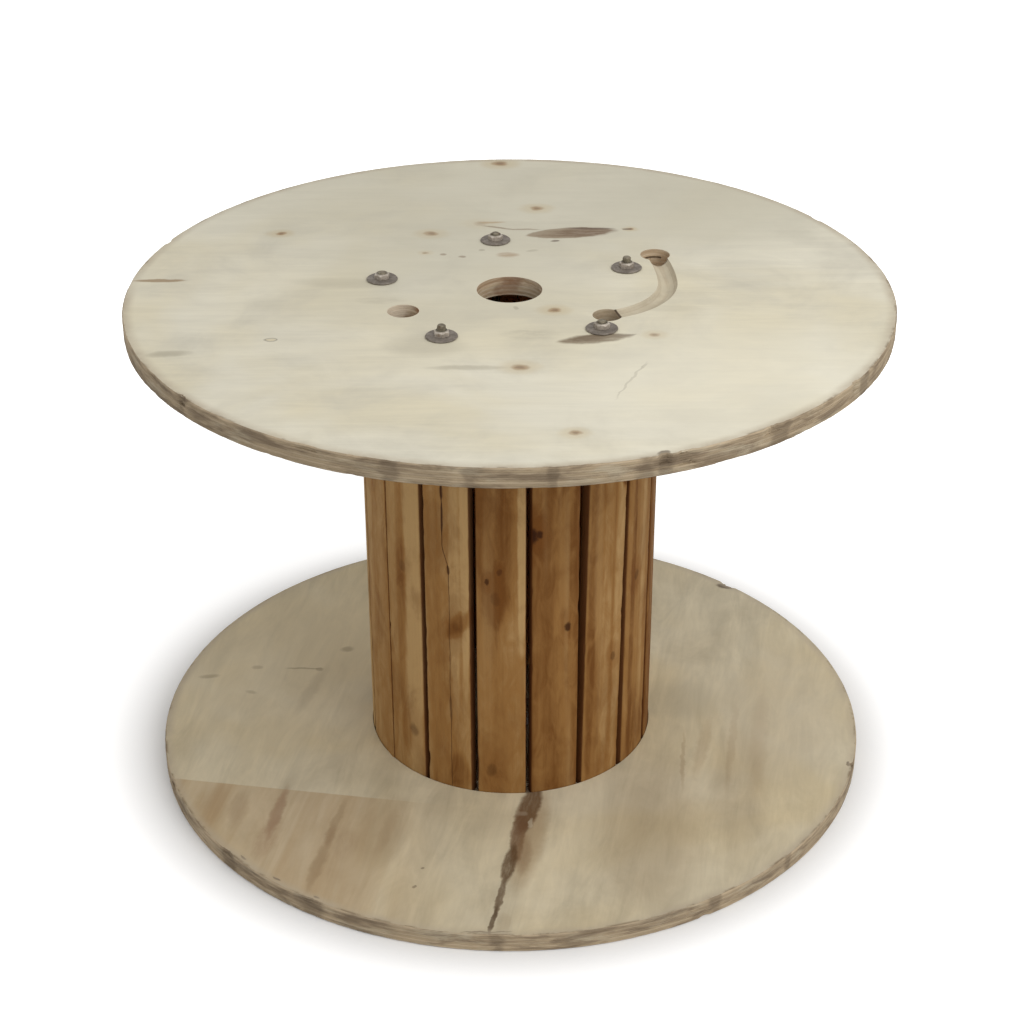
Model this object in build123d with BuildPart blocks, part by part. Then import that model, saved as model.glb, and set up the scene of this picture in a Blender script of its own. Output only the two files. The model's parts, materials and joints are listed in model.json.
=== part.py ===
"""Wooden cable drum: two plywood flanges drawn together on a staved barrel by long tie bolts.

The drum stands on its lower flange. The origin is the middle of that flange's underside, Z runs up
the drum's axis and the side a viewer faces looks along -Y. All sizes are millimetres and degrees.
"""
import os
from math import atan, cos, degrees, floor, hypot, radians, sin, sqrt

from build123d import *

os.makedirs("parts", exist_ok=True)

# Flanges and barrel
flange_diameter = 1050.0
flange_thickness = 27.0
barrel_diameter = 420.0
traverse = 670.0
spindle_hole_diameter = 90.0

# Barrel staves, parallel-sided boards with a round outer face
stave_width = 68.5
stave_thickness = 20.0
stave_edge_chamfer = 1.5
stave_slack = 1.6
stave_start_angle = -72.4
stave_seat_depth = 7.0
stave_seat_clearance = 1.0

# The second stave leans to one side at its upper end and pushes the next ones along
leaning_stave = 2
stave_lean = 7.0
stave_lean_fade = 1.8

# Tie bolts, inside the barrel
bolt_count = 5
bolt_start_angle = 24.4
bolt_diameter = 12.0
bolt_inset = 10.0
bolt_hole_clearance = 0.5
bolt_standouts = (9.0, 3.0, 1.5, 10.0, 3.5)
bolt_head_diameter = 28.0
bolt_head_crown = 15.0
bolt_head_height = 6.5
bolt_neck_width = 13.4
bolt_neck_height = 7.0
bolt_neck_clearance = 0.3
bolt_recess_clearance = 4.0
bolt_head_setback = 0.5

# Washers and nuts
washer_diameter = 43.0
washer_thickness = 3.0
nut_across_flats = 19.0
nut_height = 10.0
nut_thread_clearance = 0.1
nut_turn_step = 17.0

# Drive hole
drive_hole_diameter = 43.0
drive_hole_inset = 30.0
drive_hole_angle = 206.8

# Cable start in the upper flange: a hole outside the barrel, a hole inside it and a scooped channel
cable_outer_hole_diameter = 42.0
cable_outer_hole_offset = 31.5
cable_outer_hole_angle = 31.0
cable_inner_hole_diameter = 40.0
cable_inner_hole_inset = 33.0
cable_inner_hole_angle = -33.7
channel_width = 27.0
channel_depth = 9.0
channel_bend_offset = 10.3
channel_bend_angle = 7.3
channel_bend_heading = -90.0

# Levels that follow from the sizes
lower_face = flange_thickness
upper_face = flange_thickness + traverse
drum_top = upper_face + flange_thickness
stave_foot = lower_face - stave_seat_depth
stave_length = traverse + 2 * stave_seat_depth
head_top = bolt_head_setback + bolt_head_height
nut_foot = drum_top + washer_thickness

# Radii that follow from the sizes
flange_radius = flange_diameter / 2
barrel_radius = barrel_diameter / 2
barrel_bore = barrel_radius - stave_thickness
bolt_circle = barrel_bore - bolt_inset
bolt_hole_radius = bolt_diameter / 2 + bolt_hole_clearance
recess_radius = bolt_head_diameter / 2 + bolt_recess_clearance
neck_hole = bolt_neck_width + 2 * bolt_neck_clearance
channel_radius = (channel_width**2 / 4 + channel_depth**2) / (2 * channel_depth)

# As many staves as the barrel takes, evenly turned
stave_count = floor(180 / degrees(atan((stave_width + stave_slack) / 2 / barrel_bore)))
stave_pitch = 360 / stave_count


def polar(radius, angle):
    """Point in plan at a radius and an angle from +X."""
    return (radius * cos(radians(angle)), radius * sin(radians(angle)))


def upright(point):
    """Sketch plane that stands on a point in plan, with its own y axis up the drum."""
    return Plane(origin=(point[0], point[1], 0), x_dir=(1, 0, 0), z_dir=(0, -1, 0))


drive_hole_place = polar(barrel_bore - drive_hole_inset, drive_hole_angle)
cable_outer_place = polar(barrel_radius + cable_outer_hole_offset, cable_outer_hole_angle)
cable_inner_place = polar(barrel_bore - cable_inner_hole_inset, cable_inner_hole_angle)
channel_bend_place = polar(barrel_radius + channel_bend_offset, channel_bend_angle)
bolt_places = [polar(bolt_circle, bolt_start_angle + 360 * i / bolt_count) for i in range(bolt_count)]
bolt_turns = [nut_turn_step * (i + 1) for i in range(bolt_count)]


def flange_panel(underside, seat_level):
    """Plywood disc on a level, drilled right through, with the staves' ring seat routed at seat_level."""
    with BuildPart() as panel:
        with BuildSketch(Plane.XY.offset(underside)):
            Circle(flange_radius)
        extrude(amount=flange_thickness)
        with BuildSketch(Plane.XY.offset(underside)):
            Circle(spindle_hole_diameter / 2)
            with Locations(drive_hole_place):
                Circle(drive_hole_diameter / 2)
            with Locations(*bolt_places):
                Circle(bolt_hole_radius)
        extrude(amount=flange_thickness, mode=Mode.SUBTRACT)
        with BuildSketch(Plane.XY.offset(seat_level)):
            Circle(barrel_radius + stave_seat_clearance)
            Circle(barrel_bore - stave_seat_clearance, mode=Mode.SUBTRACT)
        extrude(amount=stave_seat_depth, mode=Mode.SUBTRACT)
    return panel.part


# Lower flange, with recesses that keep the bolt heads off the floor and square holes for their necks
with BuildPart() as flange_bottom:
    add(flange_panel(0, stave_foot))
    with BuildSketch(Plane.XY):
        with Locations(*bolt_places):
            Circle(recess_radius)
    extrude(amount=head_top, mode=Mode.SUBTRACT)
    with BuildSketch(Plane.XY.offset(head_top)):
        for place, turn in zip(bolt_places, bolt_turns):
            with Locations(place):
                Rectangle(neck_hole, neck_hole, rotation=turn)
    extrude(amount=bolt_neck_height, mode=Mode.SUBTRACT)
flange_bottom.part.label = "flange_bottom"
export_step(flange_bottom.part, "parts/flange_bottom.step")

# Upper flange, with the cable start
with BuildPart() as flange_top:
    add(flange_panel(upper_face, upper_face))
    with BuildSketch(Plane.XY.offset(upper_face)):
        with Locations(cable_outer_place):
            Circle(cable_outer_hole_diameter / 2)
        with Locations(cable_inner_place):
            Circle(cable_inner_hole_diameter / 2)
    extrude(amount=flange_thickness, mode=Mode.SUBTRACT)
    cutter_level = drum_top + channel_radius - channel_depth
    bend = (*channel_bend_place, cutter_level)
    with BuildLine() as channel:
        TangentArc(bend, (*cable_outer_place, cutter_level), tangent=polar(-1, channel_bend_heading))
        TangentArc(bend, (*cable_inner_place, cutter_level), tangent=polar(1, channel_bend_heading))
    for run in channel.edges():
        with BuildSketch(Plane(origin=run @ 0, z_dir=run % 0)):
            Circle(channel_radius)
        sweep(path=run, mode=Mode.SUBTRACT)
flange_top.part.label = "flange_top"
export_step(flange_top.part, "parts/flange_top.step")

# Staves
corner_reach = sqrt(barrel_radius**2 - (stave_width / 2) ** 2)
for number in range(1, stave_count + 1):
    pushed = number - leaning_stave
    lean = max(0, stave_lean - pushed * stave_lean_fade) if pushed >= 0 else 0
    turn = stave_start_angle + (number - 1) * stave_pitch + degrees(lean / 2 / barrel_radius)
    outward = Vector(*polar(1, turn), 0)
    sideways = Vector(*polar(1, turn + 90), 0)
    rise = sideways * lean + Vector(0, 0, stave_length)
    with BuildPart() as stave:
        with BuildSketch(Plane(sideways * (-lean / 2) + Vector(0, 0, stave_foot), outward, (0, 0, 1))):
            with BuildLine():
                Polyline(
                    (corner_reach, -stave_width / 2),
                    (barrel_bore, -stave_width / 2),
                    (barrel_bore, stave_width / 2),
                    (corner_reach, stave_width / 2),
                )
                ThreePointArc(
                    (corner_reach, stave_width / 2),
                    (barrel_radius, 0),
                    (corner_reach, -stave_width / 2),
                )
            section = make_face()
            chamfer(section.vertices().group_by(Axis.X)[-1], stave_edge_chamfer)
        extrude(amount=hypot(lean, stave_length), dir=rise)
    stave.part.label = f"stave_{number:02d}"
    export_step(stave.part, f"parts/stave_{number:02d}.step")

# Tie bolts with their washers and nuts
for number, place in enumerate(bolt_places, start=1):
    axis = Axis((*place, 0), (0, 0, 1))
    bolt_top = nut_foot + nut_height + bolt_standouts[(number - 1) % len(bolt_standouts)]
    bolt_radius = bolt_diameter / 2
    head_radius = bolt_head_diameter / 2
    turn = bolt_turns[number - 1]

    with BuildPart() as tie_bolt:
        with BuildSketch(upright(place)):
            with BuildLine():
                Polyline(
                    (0, bolt_head_setback),
                    (0, bolt_top),
                    (bolt_radius, bolt_top),
                    (bolt_radius, head_top),
                    (head_radius, head_top),
                    (bolt_head_crown / 2, bolt_head_setback),
                    close=True,
                )
            make_face()
        revolve(axis=axis)
        with BuildSketch(Plane.XY.offset(head_top)):
            with Locations(place):
                Rectangle(bolt_neck_width, bolt_neck_width, rotation=turn)
        extrude(amount=bolt_neck_height)
    tie_bolt.part.label = f"tie_bolt_{number}"
    export_step(tie_bolt.part, f"parts/tie_bolt_{number}.step")

    with BuildPart() as nut_washer:
        with BuildSketch(Plane.XY.offset(drum_top)):
            with Locations(place):
                Circle(washer_diameter / 2)
                Circle(bolt_hole_radius, mode=Mode.SUBTRACT)
        extrude(amount=washer_thickness)
    nut_washer.part.label = f"nut_washer_{number}"
    export_step(nut_washer.part, f"parts/nut_washer_{number}.step")

    with BuildPart() as nut:
        with BuildSketch(Plane.XY.offset(nut_foot)):
            with Locations(place):
                RegularPolygon(nut_across_flats / 2, 6, major_radius=False, rotation=turn)
                Circle(bolt_radius + nut_thread_clearance, mode=Mode.SUBTRACT)
        extrude(amount=nut_height)
    nut.part.label = f"nut_{number}"
    export_step(nut.part, f"parts/nut_{number}.step")
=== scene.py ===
"""Dressed model of a wooden cable drum that stands on one flange.

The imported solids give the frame. Flanges, staves and tie bolts are rebuilt here with their worn edges, torn
veneer and threads, and every surface gets a finish worked out by nodes. Lengths are metres and angles degrees
unless a name or a docstring says otherwise. The seen side faces -Y and the drum's axis is Z.
"""

import json
import logging
import math
from dataclasses import dataclass, field
from enum import Enum
from typing import Any, Optional, Sequence, Union

import bmesh
import bpy
from mathutils import Matrix, Vector, noise

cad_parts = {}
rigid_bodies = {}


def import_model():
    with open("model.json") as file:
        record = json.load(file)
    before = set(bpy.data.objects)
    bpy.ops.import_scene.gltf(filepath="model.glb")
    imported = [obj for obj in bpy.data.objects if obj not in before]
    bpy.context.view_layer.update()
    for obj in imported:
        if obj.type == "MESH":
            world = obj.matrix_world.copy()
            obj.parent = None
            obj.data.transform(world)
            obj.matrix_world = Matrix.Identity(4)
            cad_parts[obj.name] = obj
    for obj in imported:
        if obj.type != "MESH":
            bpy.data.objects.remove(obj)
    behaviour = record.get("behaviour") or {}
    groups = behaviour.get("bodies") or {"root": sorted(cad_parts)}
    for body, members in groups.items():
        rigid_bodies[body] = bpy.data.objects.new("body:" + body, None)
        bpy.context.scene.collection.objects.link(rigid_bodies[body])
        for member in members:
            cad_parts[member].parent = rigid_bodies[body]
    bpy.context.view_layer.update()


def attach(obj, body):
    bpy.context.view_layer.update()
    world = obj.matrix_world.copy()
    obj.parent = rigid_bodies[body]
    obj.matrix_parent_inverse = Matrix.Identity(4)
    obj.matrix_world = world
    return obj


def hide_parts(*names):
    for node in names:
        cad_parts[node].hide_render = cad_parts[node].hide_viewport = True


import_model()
LOG = logging.getLogger("cable_drum")

Colour = tuple[float, float, float, float]
Place = tuple[float, float]
Point = tuple[float, float, float]
Feed = Union[float, Sequence[float], "Value", None]

BODY = "root"
MM = 0.001
WHITE = (1.0, 1.0, 1.0, 1.0)


def paint(red: int, green: int, blue: int) -> Colour:
    """Turn a screen colour into the linear colour that a shader socket takes.

    Args:
        red: Red from 0 to 255.
        green: Green from 0 to 255.
        blue: Blue from 0 to 255.

    Returns:
        Linear red, green, blue and a full alpha.
    """
    parts = [c / 255 for c in (red, green, blue)]
    linear = [c / 12.92 if c <= 0.04045 else ((c + 0.055) / 1.055) ** 2.4 for c in parts]
    return (linear[0], linear[1], linear[2], 1.0)


def polar(radius: float, angle: float) -> Place:
    """Point in plan at a radius and an angle in degrees from +X."""
    return (radius * math.cos(math.radians(angle)), radius * math.sin(math.radians(angle)))


# Sizes that several pieces share
FLANGE_RADIUS = 0.525
FLANGE_THICKNESS = 0.027
UPPER_FLANGE = 0.697
BARREL_RADIUS = 0.210
SEAT_DEPTH = 0.007
BOLT_COUNT = 5
BOLT_PLACES = [polar(0.180, 24.4 + 360 / BOLT_COUNT * i) for i in range(BOLT_COUNT)]
BOLT_TURNS = [17.0 * (i + 1) for i in range(BOLT_COUNT)]
CUTTER_CLEARANCE = 0.004


class Value:
    """Output of a node that is reckoned with as a number or a vector would be."""

    def __init__(self, graph: "Graph", socket: bpy.types.NodeSocket) -> None:
        """Keep the socket, and the graph that its sums go into.

        Args:
            graph: Graph that the value belongs to.
            socket: Output of a node.
        """
        self.graph = graph
        self.socket = socket
        self.is_vector = socket.type in ("VECTOR", "RGBA")

    def __add__(self, other: Feed) -> "Value":
        """Sum of this value and another."""
        return self.graph.reckon("ADD", self, other)

    def __sub__(self, other: Feed) -> "Value":
        """Difference of this value and another."""
        return self.graph.reckon("SUBTRACT", self, other)

    def __rsub__(self, other: Feed) -> "Value":
        """Difference of a plain number and this value."""
        return self.graph.reckon("SUBTRACT", other, self)

    def __mul__(self, other: Feed) -> "Value":
        """Product of this value and another, part by part for vectors."""
        return self.graph.reckon("MULTIPLY", self, other)

    def __truediv__(self, other: Feed) -> "Value":
        """Quotient of this value and another."""
        return self.graph.reckon("DIVIDE", self, other)

    def __neg__(self) -> "Value":
        """This value with its sign changed."""
        return self * -1.0

    def __abs__(self) -> "Value":
        """This value without its sign."""
        return self.graph.reckon("ABSOLUTE", self)


class Graph:
    """Short calls that add nodes to one tree and join them."""

    def __init__(self, tree: bpy.types.NodeTree) -> None:
        """Keep the tree that the calls add to."""
        self.tree = tree

    def node(self, kind: str, **settings: Any) -> bpy.types.Node:
        """Add a node and set its own properties.

        Args:
            kind: Blender's node type.
            settings: Properties of the node by name.

        Returns:
            The new node.
        """
        made = self.tree.nodes.new(kind)
        for key, value in settings.items():
            setattr(made, key, value)
        return made

    def feed(self, socket: bpy.types.NodeSocket, value: Feed) -> None:
        """Link an input to a value of the tree, or set the input's own value.

        Args:
            socket: Input of a node.
            value: What goes into it, or None to leave it as it is.
        """
        if isinstance(value, Value):
            self.tree.links.new(value.socket, socket)
        elif value is not None:
            socket.default_value = value

    def wire(
        self, kind: str, feeds: dict[Union[int, str], Feed], out: Union[int, str] = 0, **settings: Any
    ) -> Value:
        """Add a node, feed its inputs and give one output.

        Args:
            kind: Blender's node type.
            feeds: What goes into its inputs, by name or index.
            out: Output name or index.
            settings: Properties of the node by name.

        Returns:
            The chosen output.
        """
        made = self.node(kind, **settings)
        for key, value in feeds.items():
            self.feed(made.inputs[key], value)
        return Value(self, made.outputs[out])

    def reckon(self, operation: str, a: Feed, b: Feed = None) -> Value:
        """Work out a Math node, or a Vector Math node where one of the values is a vector.

        Args:
            operation: Name of the operation.
            a: First value.
            b: Second value, where the operation takes two.

        Returns:
            The result.
        """
        vectors = any(isinstance(item, tuple) or getattr(item, "is_vector", False) for item in (a, b))
        kind = "ShaderNodeVectorMath" if vectors else "ShaderNodeMath"
        out = 1 if operation in ("LENGTH", "DISTANCE", "DOT_PRODUCT") else 0
        return self.wire(kind, {0: a, 1: b}, out, operation=operation)

    def split(self, vector: Feed) -> list[Value]:
        """Take a vector apart.

        Args:
            vector: The vector.

        Returns:
            Its three parts.
        """
        made = self.node("ShaderNodeSeparateXYZ")
        self.feed(made.inputs[0], vector)
        return [Value(self, part) for part in made.outputs]

    def join(self, x: Feed = 0.0, y: Feed = 0.0, z: Feed = 0.0) -> Value:
        """A vector from three parts."""
        return self.wire("ShaderNodeCombineXYZ", {0: x, 1: y, 2: z})

    def held(self, value: Feed) -> Value:
        """A value held between 0 and 1."""
        return self.wire("ShaderNodeClamp", {0: value})

    def noise(
        self, vector: Feed, scale: Feed = 1.0, detail: float = 2.0, rough: float = 0.5, bend: Feed = 0.0
    ) -> Value:
        """Noise factor at a vector."""
        feeds = {"Vector": vector, "Scale": scale, "Detail": detail, "Roughness": rough, "Distortion": bend}
        return self.wire("ShaderNodeTexNoise", feeds)

    def smooth(self, value: Feed, low: Feed, high: Feed, first: Feed = 0.0, last: Feed = 1.0) -> Value:
        """Smooth step of a value from one level to another."""
        feeds = {0: value, 1: low, 2: high, 3: first, 4: last}
        return self.wire("ShaderNodeMapRange", feeds, interpolation_type="SMOOTHSTEP")

    def mix(self, factor: Feed, a: Feed, b: Feed) -> Value:
        """Mixed colour of two colours."""
        return self.wire("ShaderNodeMix", {0: factor, 6: a, 7: b}, 2, data_type="RGBA")


def floats(*names: str) -> dict[str, str]:
    """Socket kinds of inputs or outputs that are plain numbers."""
    return {name: "Float" for name in names}


class Recipe(Graph):
    """Node group under construction, with its inputs at hand by name."""

    def __init__(
        self, name: str, inputs: dict[str, str], outputs: dict[str, str], kind: str = "ShaderNodeTree"
    ) -> None:
        """Start a group with named sockets.

        Args:
            name: Name of the group.
            inputs: Socket kind, such as Float or Vector, by input name.
            outputs: Socket kind by output name.
            kind: Blender's tree type.
        """
        super().__init__(bpy.data.node_groups.new(name, kind))
        face = self.tree.interface
        self.ids: dict[str, str] = {}
        for key, socket in inputs.items():
            made = face.new_socket(key, in_out="INPUT", socket_type="NodeSocket" + socket)
            self.ids[key] = made.identifier
        for key, socket in outputs.items():
            face.new_socket(key, in_out="OUTPUT", socket_type="NodeSocket" + socket)
        entry = self.node("NodeGroupInput")
        self.given = {key: Value(self, entry.outputs[key]) for key in inputs}

    def put(self, **results: Value) -> bpy.types.NodeTree:
        """Put results out of the group.

        Args:
            results: Results by output name.

        Returns:
            The finished group.
        """
        end = self.node("NodeGroupOutput")
        for key, value in results.items():
            self.feed(end.inputs[key], value)
        return self.tree


class Effects:
    """Shader groups that several finishes share, each built once."""

    def __init__(self) -> None:
        """Build every group."""
        self.grain = self.build_grain()
        self.grime = self.build_grime()
        self.mark = self.build_mark()
        self.plies = self.build_plies()

    @staticmethod
    def build_grain() -> bpy.types.NodeTree:
        """Build wood grain along the vector's x.

        Returns:
            Group that gives the broad figure and the fine fibres.
        """
        kinds = {"Vector": "Vector", **floats("Along", "Across", "Wander")}
        g = Recipe("wood_grain", kinds, floats("Figure", "Fibre"))
        across = g.given["Across"]
        broad = g.given["Vector"] * g.join(g.given["Along"], across, across)
        figure = g.noise(broad, detail=4.0, rough=0.6, bend=g.given["Wander"])
        fibre = g.noise(broad * (5.0, 14.0, 14.0), detail=3.0, rough=0.65, bend=0.3)
        return g.put(Figure=figure, Fibre=fibre)

    @staticmethod
    def build_grime() -> bpy.types.NodeTree:
        """Build soft patches of dirt.

        Returns:
            Group that gives the mask of patches that cover a share of the surface.
        """
        kinds = {"Vector": "Vector", **floats("Scale", "Coverage", "Softness")}
        g = Recipe("grime", kinds, floats("Mask"))
        soft = g.given["Softness"]
        spread = g.noise(g.given["Vector"], g.given["Scale"], detail=5.0, rough=0.62, bend=0.4)
        edge = 0.72 - g.given["Coverage"] * 0.44
        return g.put(Mask=g.smooth(spread, edge - soft, edge + soft))

    @staticmethod
    def build_mark() -> bpy.types.NodeTree:
        """Build one mark in the plane of the vector's x and y: an ellipse, or a pointed lens.

        Returns:
            Group that gives the mark's mask.
        """
        kinds = {"Vector": "Vector", "Along": "Vector", "Across": "Vector"}
        kinds.update(floats("Along Offset", "Across Offset", "Softness", "Pointed", "Strength"))
        g = Recipe("mark", kinds, floats("Mask"))
        place, soft = g.given["Vector"], g.given["Softness"]
        along = g.reckon("DOT_PRODUCT", place, g.given["Along"]) - g.given["Along Offset"]
        across = g.reckon("DOT_PRODUCT", place, g.given["Across"]) - g.given["Across Offset"]
        rounded = across * across
        away = along * along + rounded + (abs(across) - rounded) * g.given["Pointed"]
        return g.put(Mask=g.smooth(away, soft + 1.0, 1.0 - soft, 0.0, g.given["Strength"]))

    @staticmethod
    def build_plies() -> bpy.types.NodeTree:
        """Build the layers of a plywood panel by height.

        Returns:
            Group that gives the glue lines, the crossed layers and a value for each layer.
        """
        g = Recipe("ply_layers", floats("Height", "Ply"), floats("Line", "Crossed", "Tone"))
        steps = g.given["Height"] / g.given["Ply"]
        index = g.reckon("FLOOR", steps)
        share = g.reckon("FRACT", steps)
        near = g.reckon("MINIMUM", share, 1.0 - share)
        tone = g.wire("ShaderNodeTexWhiteNoise", {"W": index}, noise_dimensions="1D")
        return g.put(Line=g.smooth(near, 0.14, 0.02), Crossed=g.reckon("MODULO", index, 2.0), Tone=tone)


class Surface(Graph):
    """Graph of one new material with a Principled shader, and the shared effects at hand."""

    def __init__(self, name: str, effects: Effects) -> None:
        """Make the material.

        Args:
            name: Name of the material.
            effects: Shader groups that the finishes share.
        """
        self.material = bpy.data.materials.new(name)
        self.material.use_nodes = True
        super().__init__(self.material.node_tree)
        self.tree.nodes.clear()
        self.effects = effects
        self.shader = self.node("ShaderNodeBsdfPrincipled")
        output = self.node("ShaderNodeOutputMaterial")
        self.feed(output.inputs["Surface"], Value(self, self.shader.outputs[0]))

    def group(self, tree: bpy.types.NodeTree, feeds: dict[str, Feed]) -> dict[str, Value]:
        """Place a shader group.

        Args:
            tree: The group.
            feeds: What goes into its inputs, by name.

        Returns:
            Its outputs by name.
        """
        made = self.node("ShaderNodeGroup", node_tree=tree)
        for key, value in feeds.items():
            self.feed(made.inputs[key], value)
        return {out.name: Value(self, out) for out in made.outputs}

    def place(self) -> Value:
        """Place on the piece, in its own coordinates."""
        return self.wire("ShaderNodeTexCoord", {}, "Object")

    def stored(self, name: str, out: str) -> Value:
        """Attribute that is stored in the piece's mesh."""
        return self.wire("ShaderNodeAttribute", {}, out, attribute_name=name)

    def turned(self, on: Value, degrees: float) -> Value:
        """Vector turned back about Z, so that its x runs along a direction in plan."""
        return self.wire("ShaderNodeMapping", {0: on, 2: (0.0, 0.0, -math.radians(degrees))})

    def ragged(self, on: Value, scale: float, detail: float, rough: float = 0.5) -> Value:
        """Random vector about zero at a place."""
        feeds = {"Vector": on, "Scale": scale, "Detail": detail, "Roughness": rough}
        return self.wire("ShaderNodeTexNoise", feeds, "Color") - (0.5, 0.5, 0.5)

    def grain(self, on: Value, lengthwise: float, crosswise: float, wander: float) -> tuple[Value, Value]:
        """Draw wood grain along the vector's x.

        Args:
            on: Place on the wood.
            lengthwise: Fineness along the grain.
            crosswise: Fineness across the grain.
            wander: How far the grain strays.

        Returns:
            The broad figure and the fine fibres.
        """
        feeds = {"Vector": on, "Along": lengthwise, "Across": crosswise, "Wander": wander}
        drawn = self.group(self.effects.grain, feeds)
        return drawn["Figure"], drawn["Fibre"]

    def grime(self, on: Value, scale: float, share: float, softness: float) -> Value:
        """Mask of soft patches that cover a share of the surface."""
        feeds = {"Vector": on, "Scale": scale, "Coverage": share, "Softness": softness}
        return self.group(self.effects.grime, feeds)["Mask"]

    def mark(
        self,
        on: Value,
        at: Place,
        half: Place,
        softness: float,
        turn: float = 0.0,
        pointed: float = 0.0,
        strength: float = 1.0,
    ) -> Value:
        """Draw one mark.

        Args:
            on: Place on the face.
            at: The mark's middle in millimetres.
            half: Half its length and half its width in millimetres.
            softness: How soft its edge is, to 1.
            turn: Direction of its length.
            pointed: How pointed its ends are, to 1.
            strength: Mask in its middle.

        Returns:
            The mark's mask.
        """
        feeds = {"Vector": on, "Softness": softness, "Pointed": pointed, "Strength": strength}
        for axis, size, angle in (("Along", half[0], turn), ("Across", half[1], turn + 90)):
            x, y = polar(1 / size, angle)
            feeds[axis] = (x / MM, y / MM, 0.0)
            feeds[f"{axis} Offset"] = at[0] * x + at[1] * y
        return self.group(self.effects.mark, feeds)["Mask"]

    def only(self, number: Value, stave: int) -> Value:
        """1 on the stave with a number, 0 on the others."""
        return self.reckon("LESS_THAN", abs(number - float(stave)), 0.4)

    def shade(self, colour: Value, tone: Value) -> Value:
        """Colour made paler or darker by a factor."""
        return self.wire("ShaderNodeHueSaturation", {"Value": tone, "Color": colour})

    def close(
        self, colour: Value, rough: Value, specular: float, relief: Value, depth: float, strength: float
    ) -> bpy.types.Material:
        """Feed the shader.

        Args:
            colour: Base colour.
            rough: Roughness.
            specular: Specular level of the whole surface.
            relief: Height of the fine relief.
            depth: Depth that one unit of relief stands for.
            strength: Share of the relief that shows, to 1.

        Returns:
            The finished material.
        """
        inputs = self.shader.inputs
        self.feed(inputs["Base Color"], colour)
        self.feed(inputs["Roughness"], rough)
        inputs["Specular IOR Level"].default_value = specular
        raised = {"Strength": strength, "Distance": depth, "Height": relief}
        self.feed(inputs["Normal"], self.wire("ShaderNodeBump", raised))
        return self.material


@dataclass(frozen=True)
class Mark:
    """A knot, patch, stain or scratch on a flat face, in millimetres in plan."""

    x: float
    y: float
    half_length: float
    half_width: float
    colour: Colour
    strength: float = 0.8
    turn: float = 0.0
    softness: float = 0.5
    pointed: float = 0.0
    speckled: float = 0.0


@dataclass(frozen=True)
class Joint:
    """A joint between two strips of veneer, in millimetres: its line, and the darker strip in front."""

    level: float
    slope: float
    fade_from: float
    fade_to: float
    colour: Colour
    strength: float


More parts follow.
